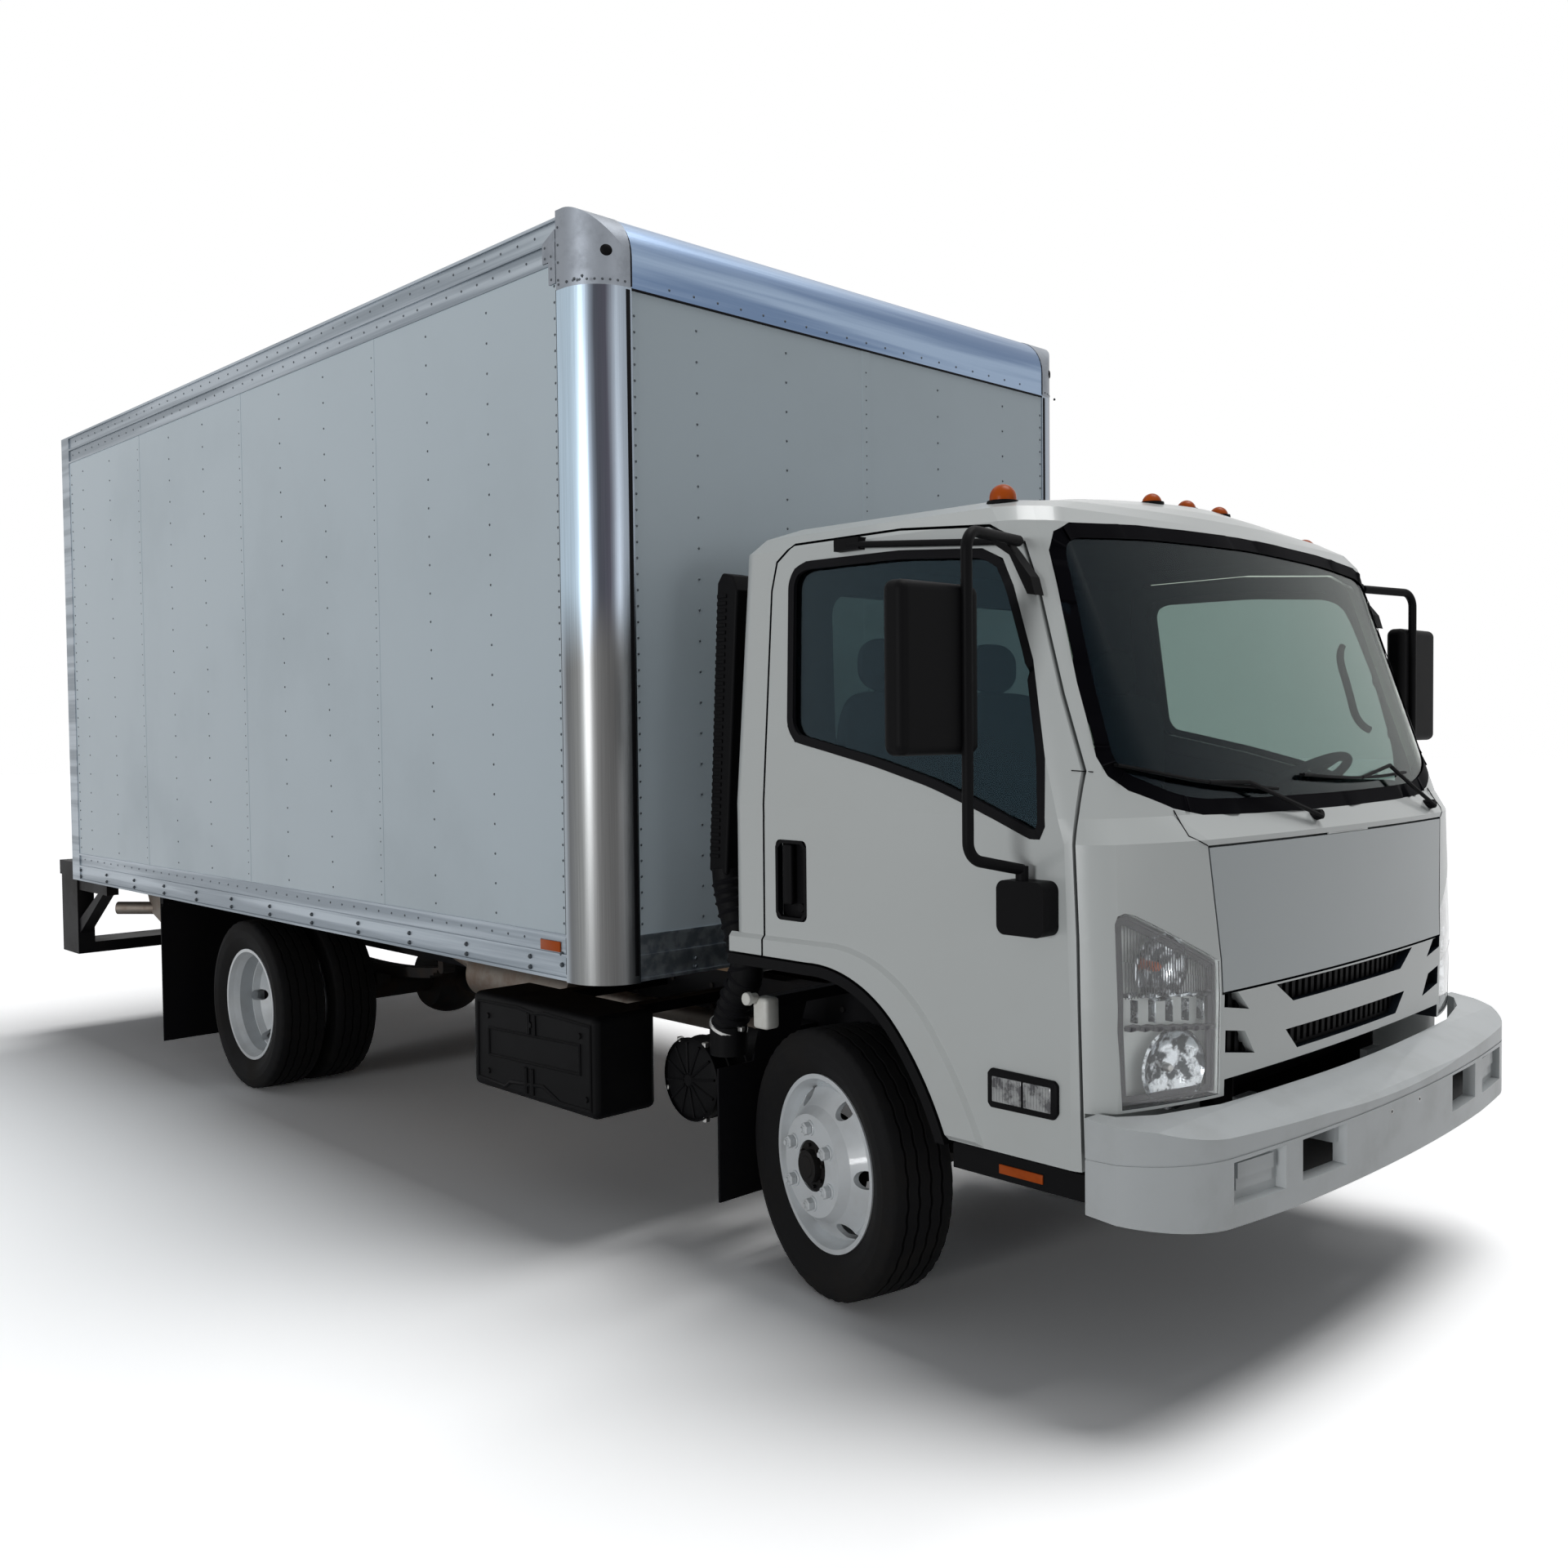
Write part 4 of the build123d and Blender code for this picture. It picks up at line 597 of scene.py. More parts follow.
def painted_reflection_post(name):
    """Polished corner post, with its reflections painted into its colour."""
    material, tree, shader = blank_material(name)
    bands = use_group(tree, "Post Painted Reflections")
    put_on(tree, shader, bands)
    set_inputs(shader, Metallic=1.0)
    add_bump(tree, shader, bands["Height"], 0.05, 0.0003)
    return material


def streaked_with_reflections(name, light, dark, stretch, rough):
    """Rolled or polished metal, with painted reflections in broad light and dark bands."""
    material, tree, shader = blank_material(name)
    bands = use_group(tree, "Streaks", Light=light, Dark=dark, Stretch=stretch, Roughness=rough)
    put_on(tree, shader, bands)
    set_inputs(shader, Metallic=1.0)
    add_bump(tree, shader, bands["Height"], 0.1, 0.0004)
    return material


def lined(name, outside, inside, centre, rough, coat):
    """Paint on the outside of a hollow shell and moulded trim on the faces that look inwards."""
    material, tree, shader = blank_material(name)
    place = tree.nodes.new("ShaderNodeTexCoord")
    away = vector_maths(tree, "SUBTRACT", place.outputs["Object"], centre)
    dot = vector_maths(tree, "DOT_PRODUCT", place.outputs["Normal"], away, "Value")
    inner = maths(tree, "LESS_THAN", dot, -0.02)
    paint = use_group(tree, "Soiling", Clean=outside, Soil=ROAD_SOIL, Amount=0.10, Scale=2.2,
                      Grain=260.0, Roughness=rough, Road_Height=1.3)
    trim = use_group(tree, "Soiling", Clean=inside, Soil=(0.10, 0.10, 0.09, 1), Amount=0.2, Scale=4.0, Grain=420.0,
                     Roughness=0.75, Road_Height=1.0)
    link(tree, blend_colours(tree, inner, paint["Color"], trim["Color"]), shader.inputs["Base Color"])
    rough_mix = tree.nodes.new("ShaderNodeMix")
    for index, value in ((0, inner), (2, paint["Roughness"]), (3, trim["Roughness"])):
        link(tree, value, rough_mix.inputs[index])
    link(tree, rough_mix.outputs[0], shader.inputs["Roughness"])
    outer = maths(tree, "SUBTRACT", 1.0, inner)
    link(tree, maths(tree, "MULTIPLY", outer, coat), shader.inputs["Coat Weight"])
    link(tree, maths(tree, "MULTIPLY", outer, 0.5), shader.inputs["Specular IOR Level"])
    set_inputs(shader, Coat_Roughness=0.06)
    sheet = use_group(tree, "Sheet Waves", Scale=1.1, Knocks=0.0)
    normal = add_bump(tree, shader, sheet["Height"], 0.05, 0.01)
    add_bump(tree, shader, trim["Height"], 0.05, 0.0003, normal)
    return material


def pane(name, tint, rough=0.0, shadow=0.4, shine=0.5, sheen=(1, 1, 1, 1), bend=1.45):
    """Clear glazing that lets the lamps light what is behind it."""
    material, tree, shader = blank_material(name)
    # sheen tints the glass's reflections of the white world; its blue is a painted reflection of a sky
    set_inputs(shader, Base_Color=tint, Transmission_Weight=1.0, Roughness=rough, IOR=bend,
               Specular_IOR_Level=shine, Specular_Tint=sheen)
    clear = tree.nodes.new("ShaderNodeBsdfTransparent")
    set_inputs(clear, Color=grey(shadow))
    path = tree.nodes.new("ShaderNodeLightPath")
    mix_shaders(tree, path.outputs["Is Shadow Ray"], shader.outputs[0], clear.outputs[0], "Material Output")
    return material


MATERIALS = {}


def make_materials():
    """Build the node groups, then every finish, by the short names that pieces ask for."""
    for build in (soiling_group, streak_and_reflection_group, dent_group, post_reflection_group):
        build()
    colours = bpy.context.scene.truck_colours
    cab_white = (*colours.cab_paint, 1.0)
    # the lid's white is the cab's white made darker: painted shade for a front face that gets less light
    lid_shaded_white = (cab_white[0] * 0.74, cab_white[1] * 0.77, cab_white[2] * 0.80, 1.0)
    MATERIALS.update({
        "sheet": finish("Wall sheet", (*colours.wall_sheet, 1.0), (0.38, 0.43, 0.46, 1), 0.35, 0.9, 300.0, 0.36,
                        bump=0.04, road=5.0, waves=0.10, wave_scale=1.3),
        "roof": finish("Roof sheet", (0.55, 0.58, 0.60, 1), (0.2, 0.2, 0.2, 1), 0.5, 1.2, 300.0, 0.5, waves=0.1),
        # rails: their light and dark tones make painted reflections in broad bands
        "rail": streaked_with_reflections("Rail aluminium", (0.34, 0.38, 0.42, 1), (0.19, 0.22, 0.25, 1), (0.5, 22, 22), 0.34),
        "top_rail": streaked_with_reflections("Front rail aluminium", (0.27, 0.35, 0.47, 1), (0.13, 0.19, 0.30, 1), (16, 0.4, 16),
                             0.26),
        "post": painted_reflection_post("Post aluminium"),
        "cast": finish("Cast aluminium", (0.22, 0.24, 0.27, 1), (0.11, 0.12, 0.135, 1), 0.4, 14.0, 420.0, 0.45,
                       metal=0.85, bump=0.5, road=6.0),
        "rivet": finish("Rivet head", (0.05, 0.06, 0.07, 1), amount=0.2, rough=0.4, metal=0.7),
        "bolt": finish("Zinc bolt", (0.45, 0.45, 0.44, 1), amount=0.4, scale=40.0, rough=0.35, metal=1.0),
        "cab": lined("Cab paint", cab_white, DARK_TRIM, (AXLE_X + 0.35, 0.0, 1.45), 0.34, 0.25),
        # service lid: the cab's white, darkened as painted shade
        "paint": finish("Lid white with painted shade", lid_shaded_white, ROAD_SOIL, 0.12, 2.2, 260.0, 0.34, bump=0.05, coat=0.25,
                        road=1.3),
        "bumper": finish("Bumper white", (0.45, 0.475, 0.485, 1), (0.22, 0.22, 0.20, 1), 0.30, 5.0, 260.0, 0.42,
                         bump=0.06, coat=0.2, road=1.0),
        "wheel": finish("Wheel white", COOL_WHITE, (0.24, 0.21, 0.17, 1), 0.16, 9.0, 240.0, 0.35,
                        bump=0.06, coat=0.3, road=1.2),
        "tyre": finish("Tyre rubber", (0.0045, 0.0045, 0.005, 1), (0.022, 0.020, 0.018, 1), 0.45, 6.0, 300.0, 0.78,
                       bump=0.25, road=1.0, specular=0.12),
        "rubber": finish("Flap rubber", (0.003, 0.003, 0.004, 1), (0.012, 0.011, 0.010, 1), 0.35, 5.0, 260.0, 0.7,
                         bump=0.2, road=1.2, specular=0.08),
        "seal": finish("Window seal", (0.004, 0.004, 0.005, 1), (0.012, 0.012, 0.012, 1), 0.3, 8.0, 300.0, 0.55,
                       specular=0.06),
        "plastic": finish("Moulded plastic", (0.0035, 0.0035, 0.004, 1), (0.009, 0.009, 0.009, 1), 0.3, 7.0, 500.0, 0.5,
                          bump=0.15, specular=0.05),
        "flute": finish("Fluted lens", (0.36, 0.37, 0.37, 1), (0.06, 0.06, 0.065, 1), 1.6, 30.0, 200.0, 0.18,
                        bump=0.0, road=6.0, specular=0.6),
        "frit": finish("Black glass border", (0.002, 0.002, 0.003, 1), (0.006, 0.006, 0.006, 1), 0.2, 6.0, 300.0,
                       0.5, specular=0.01),
        "iron": finish("Chassis iron", (0.016, 0.015, 0.015, 1), (0.06, 0.038, 0.024, 1), 0.5, 7.0, 160.0, 0.7,
                       bump=0.4, road=1.2, specular=0.2),
        "frame": finish("Frame black", (0.006, 0.006, 0.007, 1), (0.022, 0.019, 0.015, 1), 0.4, 4.0, 200.0, 0.5,
                        bump=0.2, road=1.2, specular=0.08),
        "steel": finish("Exhaust steel", (0.18, 0.16, 0.14, 1), (0.12, 0.06, 0.03, 1), 0.7, 10.0, 220.0, 0.5,
                        metal=0.8, bump=0.4),
        "wood": finish("Floor boards", (0.22, 0.14, 0.08, 1), (0.08, 0.06, 0.04, 1), 0.6, 6.0, 90.0, 0.7,
                       bump=0.4),
        "interior": finish("Interior plastic", DARK_TRIM, (0.015, 0.018, 0.022, 1), 0.3, 5.0, 520.0,
                           0.7, bump=0.08, specular=0.02),
        "cloth": finish("Woven cloth", (0.009, 0.011, 0.014, 1), (0.016, 0.017, 0.019, 1), 0.4, 6.0, 900.0, 0.95,
                        bump=0.15, depth=0.0003, specular=0.05),
        "door": finish("Roll door", COOL_WHITE, (0.28, 0.28, 0.27, 1), 0.35, 1.6, 280.0, 0.4,
                       bump=0.05, road=3.0, waves=0.05),
        "chrome": finish("Reflector", (0.66, 0.69, 0.72, 1), (0.05, 0.055, 0.06, 1), 2.0, 26.0, rough=0.12, metal=1.0,
                         bump=0.0, road=6.0),
        "mirror": finish("Mirror glass", (0.80, 0.82, 0.83, 1), amount=0.05, rough=0.02, metal=1.0, bump=0.0),
        "bezel": finish("Lamp bezel", (0.045, 0.045, 0.05, 1), (0.10, 0.10, 0.09, 1), 0.3, 9.0, 400.0, 0.4,
                        specular=0.2),
        "amber": finish("Amber lens", (0.40, 0.070, 0.006, 1), (0.16, 0.025, 0.006, 1), 0.5, 20.0, 200.0, 0.3,
                        coat=0.0, bump=0.05, specular=0.10),
        "red": finish("Red lens", (0.35, 0.012, 0.010, 1), (0.2, 0.02, 0.02, 1), 0.3, 20.0, 200.0, 0.2, coat=0.6,
                      bump=0.1),
        "bottle": finish("Reservoir", (0.72, 0.72, 0.68, 1), (0.35, 0.32, 0.25, 1), 0.5, 12.0, 200.0, 0.45),
        # the blue sheen on the cab's glass is a painted reflection of a sky
        "glass": pane("Cab glass", (0.37, 0.46, 0.48, 1), shine=0.3, sheen=(0.40, 0.70, 0.90, 1), bend=1.32),
        "screen": pane("Windscreen", (0.38, 0.45, 0.39, 1), shine=0.3, sheen=(0.30, 0.60, 0.95, 1), bend=1.18),
        "lens": pane("Lamp lens", (0.93, 0.94, 0.94, 1), 0.02, 0.9),
    })


NODE_FINISHES = {
    "sheet": ("body_walls",), "roof": ("roof",), "rail": ("body_rails", "rear_frame"), "top_rail": ("front_top_rail",),
    "post": ("corner_posts",), "cast": ("corner_caps",), "door": ("roll_door",), "wood": ("load_floor",),
    "cab": ("cab_shell", "door_left", "door_right"), "paint": ("service_lid",), "bumper": ("front_bumper",),
    "wheel": ("front_left_wheel", "front_right_wheel", "rear_left_wheels", "rear_right_wheels"),
    "plastic": ("battery_cover", "air_intake", "arch_lips_and_steps", "mirror_left", "mirror_right", "grille"),
    "rubber": ("mud_flaps",),
    "frame": ("chassis_frame", "fuel_tank", "rear_step", "front_left_hub", "front_right_hub", "rear_left_hub",
              "rear_right_hub"),
    "iron": ("front_axle", "rear_axle", "leaf_springs", "engine_block", "drive_line", "knuckle_left",
             "knuckle_right"),
    "steel": ("exhaust",), "interior": ("dashboard",), "amber": ("roof_lamps",), "lens": ("headlamps",),
    "glass": ("door_glass_left", "door_glass_right"), "screen": ("cab_glass",),
}


def paint_nodes():
    """Give the frame's nodes that stay their finishes."""
    for finish_name, names in NODE_FINISHES.items():
        for name in names:
            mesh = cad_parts[name].data
            mesh.materials.clear()
            mesh.materials.append(MATERIALS[finish_name])


# ------------------------------------------------------------------ van body
def wall_fasteners():
    """Rivet rows up the walls, close on a lap and wide between, and along the rails."""
    sizes = bpy.context.scene.truck_sizes
    radius, height = sizes.rivet_radius, sizes.rivet_height
    dense, sparse = sizes.dense_pitch, sizes.dense_pitch * 2
    rivet = template(lambda bm: rod(bm, (0, 0, 0), (0, 0, height), radius, radius * 0.55, segments=8))
    low, high = RAIL_TOP_Z + 0.035, TOP_RAIL_Z - 0.03

    def upright_row(bm, direction, x, y, top, pitch):
        count = int((top - low) / pitch) + 1
        stamp(bm, rivet, [facing(direction, (x, y, low + pitch * k)) for k in range(count)])

    rows = [(AXLE_X - 0.918, dense)]
    rows += [(FIRST_ROW_X - RIVET_ROW_PITCH * row, dense if row % 3 == 2 else sparse) for row in range(11)]
    rows.append((BODY_REAR_X + 0.03, dense))
    count = int((BODY_FRONT_X - SIDE_REACH - BODY_REAR_X - 0.06) / sparse)
    for name, side in SIDES:
        bm = bmesh.new()
        for x, pitch in rows:
            upright_row(bm, (0, side, 0), x, side * WALL_SKIN_Y, high, pitch)
        # rows along both lips of the top rail and the upper lip of the low rail
        y = side * RAIL_SKIN_Y
        for z, shift in ((TOP_RAIL_Z + 0.040, 0.0), (TOP_RAIL_Z + 0.108, 0.5), (RAIL_TOP_Z - 0.030, 0.25)):
            stamp(bm, rivet, [facing((0, side, 0), (BODY_REAR_X + 0.05 + sparse * (k + shift), y, z))
                              for k in range(count)])
        piece("wall_rivets_" + name, bm, "rivet", "chassis")
    bm = bmesh.new()
    for y, pitch in ((-1.054, dense), (-0.802, sparse), (-0.401, sparse), (0.0, dense), (0.401, sparse),
                     (0.802, sparse), (1.054, dense)):
        upright_row(bm, (1, 0, 0), BODY_FRONT_X - 0.004, y, 3.04, pitch)
    stamp(bm, rivet, [facing((1, 0, 0), (BODY_FRONT_X, 0.1016 * k, 3.10)) for k in range(-9, 10)])
    piece("front_wall_rivets", bm, "rivet", "chassis")
    bpy.data.meshes.remove(rivet)


def wall_laps():
    """Where one sheet lies over the next: a thin strip down each close row of rivets."""
    bm = bmesh.new()
    for side in (1, -1):
        for row in (2, 5, 8):
            x = FIRST_ROW_X - RIVET_ROW_PITCH * row
            box(bm, (x - 0.022, side * (HALF_BODY - 0.0045), RAIL_TOP_Z),
                (x + 0.022, side * (HALF_BODY - 0.0028), TOP_RAIL_Z), 0.0006, 1)
    box(bm, (BODY_FRONT_X - 0.0045, -0.022, RAIL_TOP_Z), (BODY_FRONT_X - 0.0028, 0.022, POST_TOP_Z), 0.0006, 1)
    piece("wall_laps", bm, "sheet", "chassis")


def post_seals_and_shadow_strip():
    """Dark joints down both edges of the corner posts and up the roof's corners, and a black strip over the front wall
    that is a painted shadow under the top rail.
    """
    bm = bmesh.new()
    reach = HALF_BODY - FRONT_REACH
    low, side_x = RAIL_LOW_Z + 0.02, BODY_FRONT_X - SIDE_REACH
    for side in (1, -1):
        box(bm, (BODY_FRONT_X - 0.005, side * 1.070, low), (BODY_FRONT_X + 0.0005, side * 1.086, 3.07), 0.002, 2)
        box(bm, (side_x - 0.006, side * RAIL_SKIN_Y, low),
            (side_x + 0.001, side * (HALF_BODY - 0.0015), POST_TOP_Z), 0.001, 1)
    # black strip under the front top rail: painted shadow of the gap beneath it
    box(bm, (BODY_FRONT_X - 0.005, -reach, 3.0690), (BODY_FRONT_X + 0.0010, reach, 3.0760), 0.001, 1)
    for side in (1, -1):
        points = [Vector((BODY_FRONT_X, side * reach, z)) for z in (POST_TOP_Z, 3.172)]
        for k in range(1, 9):
            x, z = on_ring(BODY_FRONT_X - CORNER_RADIUS, 3.170, CORNER_RADIUS, 90 * k / 8)
            points.append(Vector((x, side * reach, z)))
        tube(bm, points, 0.0028, 8, smooth=False)
    piece("post_seals_and_shadow_strip", bm, "seal", "chassis")


def rail_bolts():
    """Bolts through the low rail and the foot of the front wall."""
    def head(bm):
        rod(bm, (0, 0, 0), (0, 0, 0.004), 0.0085, 0.0078, segments=12)
        rod(bm, (0, 0, 0.004), (0, 0, 0.008), 0.006, 0.0035, segments=8)

    bolt = template(head)
    bm = bmesh.new()
    spots = [(FIRST_ROW_X + RIVET_ROW_PITCH * (0.5 - k), z) for k in range(12) for z in (0.899, 0.934)]
    spots += [(AXLE_X - 0.935, z) for z in (0.926, 0.961)]
    for side in (1, -1):
        stamp(bm, bolt, [facing((0, side, 0), (x, side * RAIL_SKIN_Y, z)) for x, z in spots])
    stamp(bm, bolt, [facing((1, 0, 0), (BODY_FRONT_X - 0.006, y, z))
                     for y in (-0.838, -0.42, 0.0, 0.42, 0.838) for z in (0.899, 0.926)])
    piece("rail_bolts", bm, "rivet", "chassis")
    bpy.data.meshes.remove(bolt)


def cap_details():
    """Flange rivets and the small round marker on each corner cap, and the plates beside it."""
    bm, lamp, plates = bmesh.new(), bmesh.new(), bmesh.new()
    flange_x = BODY_FRONT_X - SIDE_REACH
    for side in (1, -1):
        wall = side * HALF_BODY
        for k in range(4):
            for x, z in ((flange_x + 0.014 + 0.042 * k, CAP_BASE_Z + 0.016),
                         (flange_x + 0.012, CAP_BASE_Z + 0.03 + 0.055 * k)):
                rod(bm, (x, wall - side * 0.003, z), (x, wall + side * 0.002, z), *FLANGE_RIVET, segments=8)
        # riveted plates that carry the cap's flange over the side rail
        points = from_axle([(-0.905, 3.100), (-0.942, 3.100), (-0.942, 3.173), (-0.976, 3.173), (-0.976, 3.237),
                            (-0.905, 3.270)])
        prism(plates, points, "Y", wall - side * 0.004, wall + side * 0.0018, 0.001, 1)
        for x, z in from_axle([(-0.926, 3.115), (-0.926, 3.150), (-0.960, 3.188), (-0.960, 3.222),
                               (-0.926, 3.188)]):
            rod(bm, (x, wall, z), (x, wall + side * 0.0035, z), *FLANGE_RIVET, segments=8)
        # ring of rivets along the cap's foot
        heart = Vector((BODY_FRONT_X - CORNER_RADIUS, side * (HALF_BODY - CORNER_RADIUS), CAP_BASE_Z + 0.016))

        def outwards(degrees, side=side):
            angle = math.radians(degrees)
            return Vector((math.cos(angle), side * math.sin(angle), 0))

        for k in range(9):
            out = outwards(8 + 9.2 * k)
            rod(bm, heart + out * 0.149, heart + out * 0.1535, *FLANGE_RIVET, segments=8)
        out = outwards(30.7)
        centre = Vector((heart.x, heart.y, 3.182)) + out * 0.151
        lathe(lamp, [(0.0, 0.006), (0.012, 0.005), (0.018, 0.001), (0.022, -0.004), (0.022, -0.03)], centre, out, 24)
    piece("cap_rivets", bm, "rivet", "chassis")
    piece("cap_plates", plates, "cast", "chassis")
    piece("cap_markers", lamp, "plastic", "chassis")


def reflectors():
    """Side reflectors, the lamps over the roll-up door and the round lamps under the rear frame."""
    rings, amber, red = bmesh.new(), bmesh.new(), bmesh.new()
    back = (-1, 0, 0)
    for side in (1, -1):
        y0, y1 = side * (HALF_BODY - 0.007), side * (HALF_BODY - 0.0012)
        box(amber, (AXLE_X - 1.054, y0, 0.966), (AXLE_X - 0.942, y1, 1.000), 0.0015, 2)
        box(red, (BODY_REAR_X - 0.10, y0, 0.962), (BODY_REAR_X - 0.03, y1, 1.000), 0.0015, 2)
        for z, target in ((0.78, red), (0.69, amber), (0.60, red)):
            centre = (REAR_FACE_X - 0.26, side * 1.10, z)
            lathe(target, [(0.0, -0.010), (0.044, -0.010), (0.044, 0.006), (0.036, 0.014), (0.0, 0.018)], centre,
                  back, 32)
            lathe(rings, [(0.046, -0.012), (0.053, -0.012), (0.053, 0.006), (0.046, 0.008), (0.046, -0.012)],
                  centre, back, 32)
    for k in (-1, 0, 1):
        lathe(red, [(0.0, 0.0), (0.030, 0.0), (0.030, 0.008), (0.024, 0.018), (0.0, 0.022)],
              (REAR_FACE_X, 0.16 * k, 3.225), back, 24)
    piece("amber_reflectors", amber, "amber", "chassis")
    piece("tail_lamps", red, "red", "chassis")
    piece("tail_lamp_rings", rings, "rubber", "chassis")


def rear_door_hardware():
    """Slat hinges and the latch of the roll-up door, and the rivets of its frame."""
    bm = bmesh.new()
    low, high, slats = 1.005, 3.096, 8
    face_x = BODY_REAR_X - 0.066
    for joint in range(1, slats):
        z = low + (high - low) / slats * joint
        for y in (-0.9, -0.3, 0.3, 0.9):
            box(bm, (face_x - 0.003, y - 0.035, z - 0.05), (face_x + 0.002, y + 0.035, z + 0.05), 0.0012, 1)
            rod(bm, (face_x - 0.006, y - 0.035, z), (face_x - 0.006, y + 0.035, z), 0.005, segments=10)
    box(bm, (face_x - 0.006, -0.10, 1.07), (face_x + 0.002, 0.10, 1.25), 0.004, 2)
    box(bm, (face_x - 0.040, -0.022, 1.10), (face_x - 0.006, 0.022, 1.22), 0.006, 2)
    box(bm, (face_x - 0.046, -0.075, 1.085), (face_x - 0.030, 0.075, 1.115), 0.006, 2)
    piece("rear_door_hardware", bm, "bolt", "chassis")
    bm = bmesh.new()
    for side in (1, -1):
        y = side * (HALF_BODY - 0.03)
        for k in range(16):
            z = 1.08 + 0.13 * k
            rod(bm, (REAR_FACE_X + 0.001, y, z), (REAR_FACE_X - 0.003, y, z), 0.006, 0.004, segments=8)
    piece("rear_frame_rivets", bm, "rivet", "chassis")


# ------------------------------------------------------------------ wheels
def steer(bm, side):
    pin = Matrix.Translation((AXLE_X, side * KINGPIN_Y, 0))
    bm.transform(pin @ Matrix.Rotation(STEER, 4, "Z") @ pin.inverted())


def add_tyre(bm, centre, steps=144):
    """Ribbed road tyre with four zigzag grooves, a notched shoulder and moulded rings."""
    outer = 0.3978
    half = [(0.080, 0.252), (0.083, 0.262), (0.088, 0.272), (0.097, 0.289), (0.1055, 0.310), (0.1085, 0.318),
            (0.1088, 0.321), (0.1118, 0.336), (0.1122, 0.348), (0.1128, 0.350), (0.1125, 0.353), (0.1108, 0.360),
            (0.1070, 0.372), (0.1040, 0.380), (0.1035, 0.3815), (0.1008, 0.386), (0.0975, 0.3915), (0.0925, 0.3958)]
    for groove in (0.058, 0.020):
        for y, drop in ((groove + 0.0048, 0), (groove + 0.0030, 0.011), (groove - 0.0030, 0.011),
                        (groove - 0.0048, 0)):
            half.append((y, outer - 0.002 * (y / 0.092) ** 2 - drop))
    profile = [(r, y) for y, r in half] + [(r, -y) for y, r in reversed(half)] + [(0.256, -0.066), (0.256, 0.066)]
    made = lathe(bm, profile, centre, ACROSS, steps)
    centre = Vector(centre)
    step_angle = 2 * math.pi / steps
    zigzag, notch = 0.0016, 0.0032
    for vert in made:
        offset = vert.co - centre
        radius = math.hypot(offset.x, offset.z)
        index = int(round(math.atan2(offset.z, offset.x) / step_angle))
        y = abs(offset.y)
        if radius > 0.380 and y < 0.075:
            vert.co.y += zigzag * (1 if (index // 2) % 2 else -1)
        if 0.0915 < y < 0.099 and radius > 0.389 and index % 3 == 0:
            vert.co.x = centre.x + offset.x * (1 - notch / radius)
            vert.co.z = centre.z + offset.z * (1 - notch / radius)
    bmesh.ops.bridge_loops(bm, edges=[edge for edge in bm.edges if edge.is_boundary])


def add_nuts(bm, axle_x, face_y, side):
    """Six wheel nuts with washers and stud ends, on a ring in the disc."""
    for k in range(6):
        x, z = on_ring(axle_x, CENTRE_Z, NUT_RING, 33 + 60 * k)
        for low, high, radius, end_radius, segments, bevel in (
                (-0.001, 0.005, 0.0235, 0.0225, 24, 0.001), (0.005, 0.025, 0.0195, None, 6, 0.0022),
                (0.025, 0.029, 0.0130, 0.0105, 20, 0.0), (0.029, 0.034, 0.0088, 0.0075, 14, 0.0)):
            rod(bm, (x, face_y + side * low, z), (x, face_y + side * high, z), radius, end_radius, segments, bevel)


def add_hub_bolts(bm, axle_x, turn, start_y, end_y, radius):
    for k in range(8):
        x, z = on_ring(axle_x, CENTRE_Z, HUB_RING, 45 * k + turn)
        rod(bm, (x, start_y, z), (x, end_y, z), radius, segments=6)


def wheel_pieces():
    """Tyres, nuts and hub covers, turned with the steered front wheels."""
    for name, side in SIDES:
        out = (0, side, 0)
        face = side * (FRONT_WHEEL_Y + WHEEL_OFFSET)
        bm, nuts, hub = bmesh.new(), bmesh.new(), bmesh.new()
        add_tyre(bm, (AXLE_X, side * FRONT_WHEEL_Y, CENTRE_Z))
        add_nuts(nuts, AXLE_X, face, side)
        lathe(hub, [(0.0, 0.004), (0.030, 0.003), (0.036, -0.002), (0.037, -0.012), (0.0, -0.012)],
              (AXLE_X, face + side * 0.018, CENTRE_Z), out, 32)
        add_hub_bolts(hub, AXLE_X, 12, face - side * 0.005, face + side * 0.005, 0.006)
        for part in (bm, nuts, hub):
            steer(part, side)
        body = "wheel_front_" + name
        tyre = piece("front_tyre_" + name, bm, "tyre", body, 40)
        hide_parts("front_%s_tyre" % name)
        piece("front_wheel_nuts_" + name, nuts, "wheel", body)
        piece("front_hub_cover_" + name, hub, "frame", body)
        bm, nuts, hub = bmesh.new(), bmesh.new(), bmesh.new()
        for y in (REAR_OUTER_Y, REAR_INNER_Y):
            add_tyre(bm, (REAR_AXLE_X, side * y, CENTRE_Z), 120)
        add_nuts(nuts, REAR_AXLE_X, side * REAR_DISC_Y, side)
        lathe(hub, [(0.0, 0.006), (0.045, 0.006), (0.050, 0.002), (0.060, 0.0005), (0.070, 0.0005),
                    (0.0725, -0.004), (0.0725, -0.02)], (REAR_AXLE_X, side * REAR_HUB_Y, CENTRE_Z), out, 32)
        add_hub_bolts(hub, REAR_AXLE_X, 0, side * REAR_HUB_Y, side * 0.892, 0.0062)
        body = "wheels_rear_" + name
        tyre = piece("rear_tyres_" + name, bm, "tyre", body, 40)
        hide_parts("rear_%s_tyres" % name)
        piece("rear_wheel_nuts_" + name, nuts, "wheel", body)
        piece("rear_hub_cover_" + name, hub, "frame", body)


